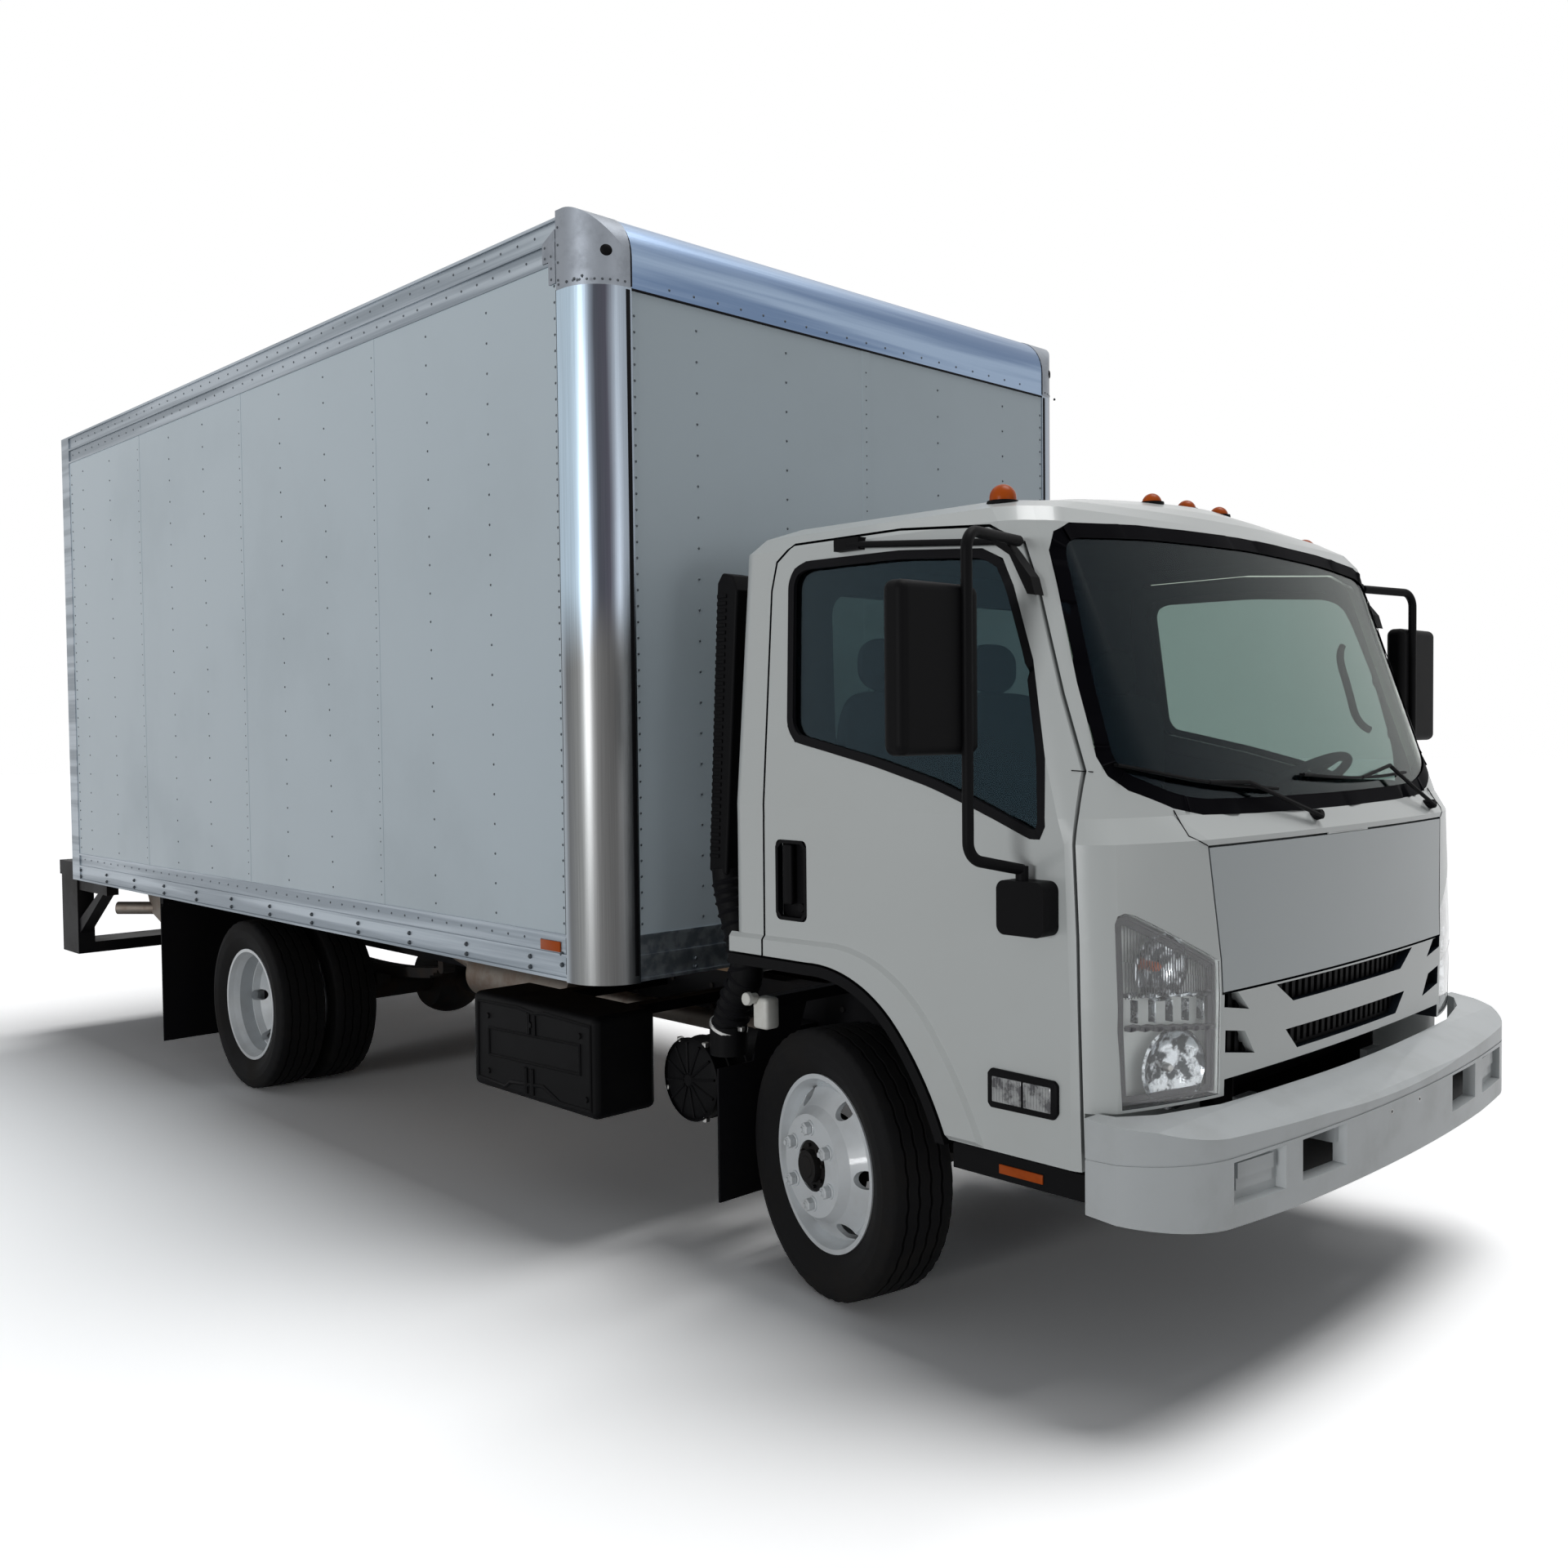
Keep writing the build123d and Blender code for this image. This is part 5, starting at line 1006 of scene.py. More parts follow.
# ------------------------------------------------------------------ cab glazing and doors
# the windscreen's left half as (y, z), and a side window as (forward of the front axle, z)
SCREEN = [(0.0, 1.450), (0.420, 1.452), (0.650, 1.458), (0.754, 1.478), (0.880, 1.526), (0.921, 1.562), (0.934, 1.610),
          (0.930, 1.662), (0.924, 1.794), (0.900, 2.037), (0.894, 2.130), (0.870, 2.180), (0.807, 2.208),
          (0.523, 2.226), (0.0, 2.236)]
WINDOW = [(-0.075, 1.690), (-0.108, 2.110), (-0.088, 2.150), (-0.040, 2.168), (0.324, 2.166), (0.620, 2.144),
          (0.690, 2.112), (0.728, 2.040), (0.800, 1.850), (0.858, 1.606), (0.868, 1.440), (0.852, 1.408),
          (0.820, 1.408), (0.663, 1.470), (0.493, 1.527), (0.281, 1.580), (0.086, 1.620), (-0.040, 1.645)]


def windscreen_border():
    """The black edge round the windscreen."""
    surface = Surface("cab_glass", "cab_shell", "door_left", "door_right")
    outline = SCREEN + mirrored(SCREEN)[1:-1]

    def seat(y, z):
        return surface.front(max(-0.935, min(0.935, y)), z, AXLE_X + 0.9)

    bm = bmesh.new()
    outline_band(bm, rounded(outline, 0.09), "X", 0.040, seat, 0.0030, 0.0020, outward=0.004, cuts=2)
    piece("windscreen_border", bm, "frit", "cab", 50)


def window_seals():
    """The rubber round each door's window."""
    outline = rounded(from_axle(WINDOW), 0.045)
    for name, side in SIDES:
        surface = Surface("door_" + name)

        def seat(x, z, surface=surface, side=side):
            # the seal stands on the door round the opening, so read the surface a little outside it
            for grow in (0.0, 0.02, 0.04, 0.06, 0.08):
                dx = grow if x > AXLE_X + 0.4 else -grow
                dz = grow if z > 1.8 else -grow
                place = surface.flank(x + dx, z + dz, side)
                if place is not None and abs(place) > 0.93:
                    return place + side * (dz * 0.10)
            return side * 0.99

        bm = bmesh.new()
        outline_band(bm, outline, "Y", 0.024, seat, -side * 0.010, side * 0.0125, outward=0.007, cuts=0)
        piece("window_seal_" + name, bm, "seal", "door_%s_body" % name, 50)


def door_fittings():
    """Each door's pull, side lamp and inner panel."""
    for name, side in SIDES:
        body = "door_%s_body" % name

        def out(reach, side=side):
            return side * (DOOR_FACE_Y + reach)

        # recessed pull with its frame and lock
        bm = bmesh.new()
        x0, x1, z0, z1, cut = AXLE_X - 0.105, AXLE_X + 0.024, 1.130, 1.363, 0.02
        pocket = side * 1.004
        ring = [(x0, z0 + cut), (x0, z1 - cut), (x0 + cut, z1), (x1 - cut, z1), (x1, z1 - cut), (x1, z0 + cut),
                (x1 - cut, z0), (x0 + cut, z0)]
        outline_band(bm, ring, "Y", 0.010, lambda x, z: out(0.0), -side * 0.004, side * 0.006, outward=0.004,
                     cuts=0)
        box(bm, (x0 + 0.004, pocket, z0 + 0.004), (x1 - 0.004, pocket + side * 0.003, z1 - 0.004), 0.001, 1)
        box(bm, (AXLE_X - 0.078, out(-0.017), z0 + 0.045), (AXLE_X - 0.040, out(0.001), z1 - 0.012), 0.007, 3)
        rod(bm, (AXLE_X - 0.012, pocket, z0 + 0.038), (AXLE_X - 0.012, out(-0.010), z0 + 0.038), 0.013, segments=20,
            bevel=0.001)
        piece("door_pull_" + name, bm, "plastic", body)
        # side repeater lamp
        bm = bmesh.new()
        outline = from_axle([(0.690, 0.735), (0.690, 0.812), (0.700, 0.824), (0.898, 0.822), (0.908, 0.812),
                             (0.908, 0.742), (0.896, 0.726), (0.700, 0.724)])
        prism(bm, outline, "Y", out(-0.004), out(0.010), 0.004, 2)
        piece("side_lamp_bezel_" + name, bm, "plastic", body)
        bm = bmesh.new()
        flute_pitch = 0.0092
        for start, end in ((0.708, 0.800), (0.806, 0.890)):
            box(bm, (AXLE_X + start, out(0.008), 0.742), (AXLE_X + end, out(0.0135), 0.806), 0.002, 2)
            for k in range(int((end - start) / flute_pitch)):
                x = AXLE_X + start + 0.005 + flute_pitch * k
                rod(bm, (x, out(0.0132), 0.745), (x, out(0.0132), 0.803), 0.0022, segments=8)
        piece("side_lamp_lens_" + name, bm, "flute", body)
        # inner panel of the door and its arm rest
        bm = bmesh.new()
        outline = from_axle([(-0.10, 1.10), (-0.07, 1.58), (0.28, 1.53), (0.66, 1.42), (0.86, 1.35), (0.86, 0.80),
                             (0.62, 0.80), (0.40, 1.06)])
        prism(bm, outline, "Y", side * 0.955, side * 0.978, 0.006, 2)
        box(bm, (AXLE_X + 0.10, side * 0.915, 1.26), (AXLE_X + 0.52, side * 0.960, 1.31), 0.014, 3)
        piece("door_card_" + name, bm, "interior", body)


def mirror_glasses():
    x = AXLE_X + 0.726
    for name, side in SIDES:
        bm = bmesh.new()
        box(bm, (x - 0.0035, side * 1.205, 1.645), (x + 0.001, side * 1.433, 1.998), 0.0015, 2)
        piece("mirror_glass_" + name, bm, "mirror", "door_%s_body" % name)


def wipers():
    """Two wipers that lie along the windscreen's foot."""
    surface = Surface("cab_glass", "cab_shell", "service_lid")

    def on_glass(y, z, lift):
        return Vector((surface.front(y, z, AXLE_X + 1.1) + lift, y, z))

    bm = bmesh.new()
    for pivot, elbow, blade in (
            ((-0.157, 1.433), (-0.443, 1.534), ((-0.898, 1.589), (-0.300, 1.512))),
            ((0.645, 1.425), (0.418, 1.556), ((-0.142, 1.545), (0.560, 1.530)))):
        base = on_glass(*pivot, 0.0)
        rod(bm, base - Vector((0.01, 0, 0)), base + Vector((0.026, 0, 0.006)), 0.017, 0.013, segments=20, bevel=0.002)
        middle = ((pivot[0] + elbow[0]) / 2, (pivot[1] + elbow[1]) / 2)
        tube(bm, [on_glass(*pivot, 0.024), on_glass(*middle, 0.034), on_glass(*elbow, 0.030)], 0.0062, 8)
        (ya, za), (yb, zb) = blade
        line = [(ya + (yb - ya) * t, za + (zb - za) * t - 0.012 * math.sin(math.pi * t))
                for t in (k / 8 for k in range(9))]
        spine = [on_glass(y, z, 0.018) for y, z in line]
        edge = [on_glass(y, z, 0.008) for y, z in line]
        tube(bm, spine, 0.0048, 8)
        tube(bm, edge, 0.0042, 8)
        for k in (0, 2, 4, 6, 8):
            rod(bm, edge[k], spine[k], 0.0035, segments=6)
        rod(bm, on_glass(*elbow, 0.030), spine[4], 0.006, segments=8)
    piece("wipers", bm, "plastic", "cab")


def roof_lamp_bases():
    """Rubber bases under the five lamps on the cab's roof."""
    bm = bmesh.new()
    for side in (1, -1):
        lathe(bm, [(0.030, 0.0), (0.0425, -0.002), (0.0440, -0.008), (0.0440, -0.040), (0.030, -0.040)],
              (AXLE_X + 0.590, side * 0.838, 2.282), UP, 32)
    for y in (-0.190, 0.0, 0.190):
        lathe(bm, [(0.028, 0.0), (0.0352, -0.001), (0.0360, -0.004), (0.0360, -0.020), (0.028, -0.020)],
              (AXLE_X + 0.632, y, 2.342), UP, 32)
    piece("roof_lamp_bases", bm, "plastic", "cab")


def cab_seams():
    """Thin dark joints: across each windscreen pillar, and between the cowl and the corner panel."""
    surface = Surface("cab_shell", "door_left", "door_right")
    pillar = [(0.992 - 0.040 * t, 1.577 - 0.004 * t) for t in (k / 5 for k in range(6))]
    cowl = [(0.704, 1.386), (0.730, 1.398), (0.757, 1.412), (0.757, 1.440), (0.757, 1.474)]
    bm = bmesh.new()
    for side in (1, -1):
        for line, smooth in ((pillar, True), (cowl, False)):
            hits = [surface.hit((FRONT_START, side * y, z), (-1, 0, 0)) for y, z in line]
            points = [place + normal * 0.0002 for place, normal in hits if place is not None]
            if len(points) > 2:
                tube(bm, points, 0.0016, 6, smooth=smooth)
    piece("pillar_seams", bm, "seal", "cab")


# ------------------------------------------------------------------ lamps and bumper
def headlamp_insides():
    """Bezels, bars, flutes, bowls and bulbs behind the lamps' lenses."""
    lamp_edge = [(0.676, 0.770), (0.676, 1.092), (0.702, 1.106), (0.925, 1.221), (0.948, 1.227), (0.962, 1.221),
                 (0.967, 1.208), (0.969, 0.956), (0.957, 0.770)]
    surface = Surface("headlamps")
    bezel, bright, bulbs, amber = bmesh.new(), bmesh.new(), bmesh.new(), bmesh.new()
    for side in (1, -1):
        points = [(side * y, z) for y, z in lamp_edge]

        def seat(y, z, side=side):
            # near the lens's edge, read its surface a little further in
            for shift in (0.0, 0.01, 0.02, 0.03):
                x = surface.front(y - side * shift if abs(y) > 0.8 else y + side * shift,
                                  z - shift if z > 0.95 else z + shift)
                if x is not None:
                    return x
            return AXLE_X + 1.09

        def behind(target, y, z, near, far, half_width, low, high, bevel):
            """A small block between two depths behind the lens, read at (y, z)."""
            x = seat(y, z)
            box(target, (x - far, y - half_width, low), (x - near, y + half_width, high), bevel, 1)

        outline_band(bezel, points, "X", 0.020, seat, -0.016, 0.006, cuts=2)
        outline_band(bezel, points, "X", 0.006, lambda y, z: seat(y, z) - 0.034, 0.0, 0.022, cuts=2)
        # bar between the two lamps and the ribbed ledge above it
        for k in range(7):
            y, rise = side * (0.695 + 0.038 * k), 0.0036 * k
            z = 0.934 + rise
            behind(bezel, y, z, 0.006, 0.030, 0.020, z - 0.006, z + 0.006, 0.002)
            rise = 0.0030 * k
            behind(bright, y, 1.020, 0.014, 0.034, 0.020, 1.012 + rise, 1.022 + rise, 0.002)
        for k in range(5):
            rise = 0.003 * k
            behind(bright, side * (0.715 + 0.050 * k), 0.985, 0.012, 0.032, 0.0025, 0.955 + rise, 1.010 + rise,
                   0.001)
        # fine upright flutes behind the upper half of the lens
        foot = 1.028
        for k in range(34):
            y = side * (0.690 + 0.0078 * k)
            top = 1.080 + 0.50 * max(abs(y) - 0.690, 0.0)
            middle = foot + (top - foot) * 0.5
            for z0, z1 in ((foot, middle), (middle, top)):
                behind(bezel, y, (z0 + z1) / 2, 0.0075, 0.0100, 0.0008, z0, z1, 0.0)
        # bowls, turned outwards with the lens, each with its bulb
        for y, z, radius, depth, target, spread in ((0.838, 1.095, 0.077, 0.026, amber, 1.15),
                                                    (0.800, 0.842, 0.096, 0.030, bulbs, 1.0)):
            x = seat(side * y, z) - 0.016
            sweep = seat(side * (y + radius), z) - seat(side * (y - radius), z)
            out = Vector((1.0, side * abs(sweep) / (2 * radius), 0.0)).normalized()
            rings = [(radius + 0.006, -0.004), (radius, 0.0), (radius * 0.96, -0.006), (radius * 0.78, -depth * 0.62),
                     (radius * 0.5, -depth * 0.88), (0.012, -depth), (0.0, -depth)]
            lathe(bright, rings, (x, side * y, z), out, 28)
            lathe(target, [(0.0, 0.010), (0.008 * spread, 0.008), (0.011 * spread, 0.0), (0.011 * spread, -0.012),
                           (0.0, -0.012)], (x - 0.018, side * y, z), out, 16)
    piece("headlamp_bezels", bezel, "bezel", "cab", 30)
    piece("headlamp_bowls", bright, "chrome", "cab", 20)
    piece("headlamp_bulbs", bulbs, "bolt", "cab")
    piece("indicator_bulbs", amber, "amber", "cab")


def bumper_details():
    """Lamp covers, a dark tray behind the slots and a dark liner in the ends that are painted shade, and the plate
    frame with its bolts.
    """
    surface = Surface("front_bumper")

    def seat(y, z):
        return surface.front(y, z, AXLE_X + 1.318)

    def keep_behind_front(bm):
        for vert in bm.verts:
            vert.co.x = min(vert.co.x, FRONT_END_X)

    # blank cover in the lamp recess, stepped across the middle
    bm = bmesh.new()
    for side in (1, -1):
        places = []
        for k in range(13):
            y = side * (0.652 + 0.0118 * k)
            places.append((surface.front(y, 0.60, AXLE_X + 1.25), y))
        strip(bm, places, 0.574, 0.604, -0.004, 0.006)
        strip(bm, places, 0.604, 0.641, -0.004, 0.011)
    piece("bumper_lamp_covers", bm, "bumper", "chassis")
    # shelf and wall behind the bumper's slots, and a liner inside its ends: dark sheets that are painted shade in the
    # bumper's hollows
    bm = bmesh.new()
    box(bm, (AXLE_X + 0.62, -0.74, 0.588), (AXLE_X + 1.17, 0.74, 0.596), 0.002, 1)
    for side in (1, -1):
        places = []
        for k in range(13):
            y = side * (0.06 + 0.058 * k)
            reach = [surface.front(y, z) for z in (0.48, 0.53, 0.67)]
            places.append((max([x for x in reach if x is not None] or [AXLE_X + 1.22]) - 0.092, y))
        strip(bm, places, 0.462, 0.655, -0.003, 0.0)
        liner = [(AXLE_X + a, side * y) for a, y in ((1.014, 1.0350), (1.080, 1.0250), (1.080, 1.0220),
                                                     (1.014, 1.0320))]
        prism(bm, liner, "Z", 0.535, 0.652)
    piece("bumper_shade_tray", bm, "plastic", "chassis")
    # a plain raised frame where a plate would go, and its bolts
    bm = bmesh.new()
    outline = [(-0.150, 0.545), (-0.150, 0.652), (0.150, 0.652), (0.150, 0.545)]
    outline_band(bm, outline, "X", 0.006, seat, -0.001, 0.0028, cuts=6)
    keep_behind_front(bm)
    piece("plate_frame", bm, "bumper", "chassis", 50)
    bm = bmesh.new()
    z = 0.636
    for y in (-0.089, 0.089):
        x = seat(y + 0.012, z)
        rod(bm, (x - 0.012, y, z), (x + 0.003, y, z), 0.0075, 0.0068, segments=16)
        rod(bm, (x + 0.003, y, z), (x + 0.0065, y, z), 0.0048, segments=6)
    keep_behind_front(bm)
    piece("plate_bolts", bm, "bolt", "chassis")


# ------------------------------------------------------------------ chassis equipment
def battery_ribs():
    """Raised ribs and studs moulded on the battery cover."""
    bm = bmesh.new()
    y = -1.130

    def rib(points, radius=0.007, closed=False):
        tube(bm, [at(a, y + 0.001, z) for a, z in points], radius, 8, smooth=False, closed=closed)

    rib([(-1.595, 0.715), (-1.600, 0.440), (-1.420, 0.432), (-1.390, 0.452), (-1.185, 0.470), (-1.085, 0.432),
         (-0.905, 0.435), (-0.905, 0.715), (-1.180, 0.722), (-1.240, 0.712), (-1.330, 0.722)], closed=True)
    rib([(-1.525, 0.530), (-1.525, 0.625), (-0.965, 0.645), (-0.965, 0.548)], closed=True)
    for a, top, low in ((-1.270, 0.712, 0.640), (-1.235, 0.712, 0.640), (-1.290, 0.520, 0.430),
                        (-1.250, 0.520, 0.430)):
        rib([(a, top), (a + 0.002, low)], 0.010)
    for a, z in ((-1.53, 0.668), (-0.965, 0.676), (-1.53, 0.470), (-0.93, 0.470), (-1.255, 0.672)):
        rod(bm, at(a, y + 0.002, z), at(a, y - 0.006, z), 0.012, 0.009, segments=14)
    for vert in bm.verts:
        vert.co.y = max(vert.co.y, RIB_FACE_Y)
    piece("battery_cover_ribs", bm, "plastic", "chassis")


def intake_details():
    """Ribs and clips of the canister, louvres of the duct, and the folds and clamp of the boot between them."""
    bm = bmesh.new()
    x, y, z = AXLE_X - 0.604, -0.949, 0.560
    rings = [(0.0, 0.020), (0.018, 0.020), (0.024, 0.014), (0.066, 0.012), (0.112, 0.008), (0.127, 0.0), (0.130, -0.01)]
    lathe(bm, rings, (x, y, z), (0, -1, 0), 56)
    for k in range(12):
        (x0, z0), (x1, z1) = (on_ring(x, z, reach, 30 * k + 8) for reach in (0.022, 0.120))
        rod(bm, (x0, y - 0.016, z0), (x1, y - 0.008, z1), 0.0045, segments=6)
    for reach in (-0.004, 0.055, 0.13):
        lathe(bm, [(0.1295, reach - 0.007), (0.1345, reach - 0.004), (0.1345, reach + 0.004), (0.1295, reach + 0.007)],
              (x, y, z), ACROSS, 48)
    piece("canister_ribs", bm, "plastic", "chassis")
    bm = bmesh.new()
    half = Vector((0.008, 0.010, 0.008))
    for degrees in (62, 118, -62, 200):
        clip_x, clip_z = on_ring(x, z, 0.136, degrees)
        point = Vector((clip_x, y + 0.004, clip_z))
        box(bm, point - half, point + half, 0.002, 1)
    piece("canister_clips", bm, "bolt", "chassis")
    # louvres of the leaning duct, on its outer and rear faces
    bm = bmesh.new()
    for k in range(37):
        z = 1.28 + 0.0225 * k
        back = AXLE_X - 0.520 + 0.0621 * (z - 1.236)
        box(bm, (back + 0.008, -0.9445, z), (back + 0.050, -0.9385, z + 0.012), 0.0015, 1)
        box(bm, (back - 0.0055, -0.934, z), (back + 0.002, -0.856, z + 0.012), 0.0015, 1)
    piece("duct_louvres", bm, "plastic", "chassis")
    # folds of the flexible boot
    bm = bmesh.new()
    path = [at(*point) for point in ((-0.480, -0.900, 0.735), (-0.440, -0.902, 0.825), (-0.386, -0.903, 0.925),
                                     (-0.402, -0.903, 1.020), (-0.448, -0.899, 1.130), (-0.474, -0.896, 1.215))]
    for start, end in zip(path, path[1:]):
        for t in (0.15, 0.48, 0.81):
            lathe(bm, [(0.050, -0.010), (0.0585, 0.0), (0.050, 0.010)], start.lerp(end, t), end - start, 24)
    piece("boot_folds", bm, "rubber", "chassis")
    bm = bmesh.new()
    lathe(bm, [(0.0585, -0.006), (0.0625, -0.005), (0.0625, 0.005), (0.0585, 0.006)], at(-0.480, -0.900, 0.742),
          (0.4, 0, 0.9), 32)
    box(bm, at(-0.430, -0.912, 0.735), at(-0.405, -0.895, 0.750), 0.002, 1)
    piece("boot_clamp", bm, "bolt", "chassis")


def coolant_bottle():
    """A small bottle with its capped neck, behind the cab."""
    bm = bmesh.new()
    box(bm, at(-0.300, -0.958, 0.770), at(-0.236, -0.900, 0.866), 0.012, 3)
    rod(bm, at(-0.292, -0.948, 0.862), at(-0.292, -0.975, 0.864), 0.016, segments=24, bevel=0.002)
    rod(bm, at(-0.292, -0.975, 0.864), at(-0.292, -0.992, 0.865), 0.021, 0.019, segments=24, bevel=0.002)
    piece("coolant_bottle", bm, "bottle", "chassis")


def step_details():
    """Treads on the cab's steps and the reflector beside each."""
    treads, amber = bmesh.new(), bmesh.new()
    for side in (1, -1):
        for k in range(40):
            x = AXLE_X + 0.555 + 0.0105 * k
            box(treads, (x, side * 0.800, 0.5975), (x + 0.004, side * 1.001, 0.6015))
        box(amber, (AXLE_X + 0.700, side * 1.002, 0.548), (AXLE_X + 0.838, side * 1.0075, 0.572), 0.0015, 2)
    piece("step_treads", treads, "plastic", "cab")
    piece("step_reflectors", amber, "amber", "cab")


def flap_battens():
    """Battens that clamp the rear mud flaps, and the strip at their foot."""
    bm = bmesh.new()
    x = REAR_AXLE_X - 0.854
    for side in (1, -1):
        for back, front, low, high in ((0.005, 0.011, 0.800, 0.835), (-0.011, -0.005, 0.800, 0.835),
                                       (-0.0085, -0.005, 0.150, 0.175)):
            box(bm, (x + back, side * 0.565, low), (x + front, side * 1.125, high), 0.001, 1)
        for k in range(6):
            y = side * (0.60 + 0.098 * k)
            rod(bm, (x + 0.011, y, 0.818), (x + 0.018, y, 0.818), 0.009, segments=6)
    piece("flap_battens", bm, "frame", "chassis")


def frame_bolts():
    """Two rows of bolts along each chassis rail."""
    bm = bmesh.new()
    for side in (1, -1):
        for k in range(26):
            x = BODY_REAR_X + 0.10 + 0.23 * k
            for z in (0.650, 0.730):
                rod(bm, (x, side * 0.425, z), (x, side * 0.433, z), 0.010, segments=6)
    piece("frame_bolts", bm, "iron", "chassis")


# ------------------------------------------------------------------ cab interior
def padded_block(bm, low, high, crown, edge=0.03, cuts=6):
    """A stuffed block: a subdivided cube whose faces swell and whose edges draw in."""
    low, high = Vector(low), Vector(high)
    middle, half = (low + high) / 2, (high - low) / 2
    soft = bmesh.new()
    bmesh.ops.create_cube(soft, size=2.0)
    bmesh.ops.subdivide_edges(soft, edges=soft.edges[:], cuts=cuts, use_grid_fill=True)
    for vert in soft.verts:
        start, shaped, swell = vert.co.copy(), vert.co.copy(), Vector((0, 0, 0))
        for i in range(3):
            j, k = (i + 1) % 3, (i + 2) % 3
            shaped[i] *= 1 - edge / max(half[i], 0.02) * 0.6 * (abs(start[j]) ** 8 + abs(start[k]) ** 8)
            if abs(start[i]) > 0.999:
                swell[i] = math.copysign(crown * (1 - start[j] ** 2) * (1 - start[k] ** 2), start[i])
        vert.co = middle + Vector([shaped[i] * half[i] for i in range(3)]) + swell
    pour(bm, soft)


def seat_pads():
    """Cushions, backs and head rests on the frame of the three seats."""
    bm = bmesh.new()
    for y, width in ((0.520, 0.560), (-0.180, 0.520), (-0.680, 0.430)):
        w = width / 2 - 0.008
        padded_block(bm, at(0.100, y - w, 1.150), at(0.565, y + w, 1.255), 0.014)
        padded_block(bm, at(-0.020, y - w, 1.250), at(0.078, y + w, 1.785), 0.010)
        padded_block(bm, at(-0.015, y - 0.112, 1.800), at(0.048, y + 0.112, 1.945), 0.008, 0.02, 4)
        for offset in (-0.05, 0.05):
            rod(bm, at(0.018, y + offset, 1.770), at(0.018, y + offset, 1.815), 0.007, segments=10)
        box(bm, at(0.03, y - w + 0.04, 1.050), at(0.50, y + w - 0.04, 1.160), 0.01, 2)
    seats = piece("seat_pads", bm, "cloth", "cab", 40)
    smooth = seats.modifiers.new("Soften", "SUBSURF")
    smooth.levels = 1
    smooth.render_levels = 1
    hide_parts("seats")


def cab_interior():
    """Trim on the dash and a grab handle on the left pillar."""
    bm = bmesh.new()
    # instrument hood, vents and glove box lid
    box(bm, at(0.800, 0.330, 1.448), at(0.985, 0.710, 1.500), 0.02, 3)
    for y in (-0.80, -0.35, 0.10, 0.86):
        box(bm, at(0.786, y - 0.05, 1.33), at(0.800, y + 0.05, 1.39), 0.004, 2)
    box(bm, at(0.788, -0.80, 1.20), at(0.802, -0.30, 1.31), 0.006, 2)
    piece("dash_trim", bm, "interior", "cab")
    bm = bmesh.new()
    tube(bm, [at(0.80, 0.895, 1.66), at(0.77, 0.86, 1.68), at(0.74, 0.86, 1.80), at(0.70, 0.86, 1.92),
              at(0.70, 0.895, 1.95)], 0.013, 10)
    piece("grab_handle", bm, "interior", "cab")


# ------------------------------------------------------------------ studio
# where the camera stands, its three directions, and its lens in pixels of a square frame
CAMERA_PLACE = (5.3118, -3.8236, 1.6881)
CAMERA_RIGHT = (0.71508834, 0.6989787, -0.0088004)
CAMERA_DOWN = (0.01670512, -0.02967319, -0.99942005)
CAMERA_AHEAD = (-0.69883446, 0.71452661, -0.03289547)
FOCAL_PIXELS, FRAME_PIXELS = 1747.92, 1920.0
CENTRE_PIXELS = (1052.11, 947.20)
SENSOR_WIDTH = 36.0
FLOOR_REACH = 60.0
WORLD_STRENGTH = 0.12
# name, where it shines from, strength, spread in radians, colour
SUNS = (("top_sun", (0.20, 0.42, 1.50), 1.80, 0.60, (1.0, 1.0, 1.0)),
        ("side_sun", (0.06, -1.0, 0.02), 1.56, 0.25, (0.98, 0.99, 1.0)),
        ("front_sun", (1.0, -0.1, 0.03), 0.28, 0.25, (1.0, 1.0, 1.0)))


def camera():
    """A camera with a shifted lens."""
    data = bpy.data.cameras.new("camera")
    data.sensor_width = SENSOR_WIDTH
    data.lens = SENSOR_WIDTH * FOCAL_PIXELS / FRAME_PIXELS
    data.shift_x = (FRAME_PIXELS / 2 - CENTRE_PIXELS[0]) / FRAME_PIXELS
    data.shift_y = (CENTRE_PIXELS[1] - FRAME_PIXELS / 2) / FRAME_PIXELS
    data.clip_end = 100.0
    obj = bpy.data.objects.new("camera", data)
    right, up, back = Vector(CAMERA_RIGHT), -Vector(CAMERA_DOWN), -Vector(CAMERA_AHEAD)
    turn = Matrix((right, up, back)).transposed().to_4x4()
    obj.matrix_world = Matrix.Translation(CAMERA_PLACE) @ turn
    bpy.context.scene.collection.objects.link(obj)
    bpy.context.scene.camera = obj


def seen_plainly(tree):
    """One for rays that look straight, by reflection or through glass at the backdrop."""
    path = tree.nodes.new("ShaderNodeLightPath")
    share = maths(tree, "MAXIMUM", path.outputs["Is Camera Ray"], path.outputs["Is Transmission Ray"])
    return maths(tree, "MAXIMUM", share, path.outputs["Is Glossy Ray"])


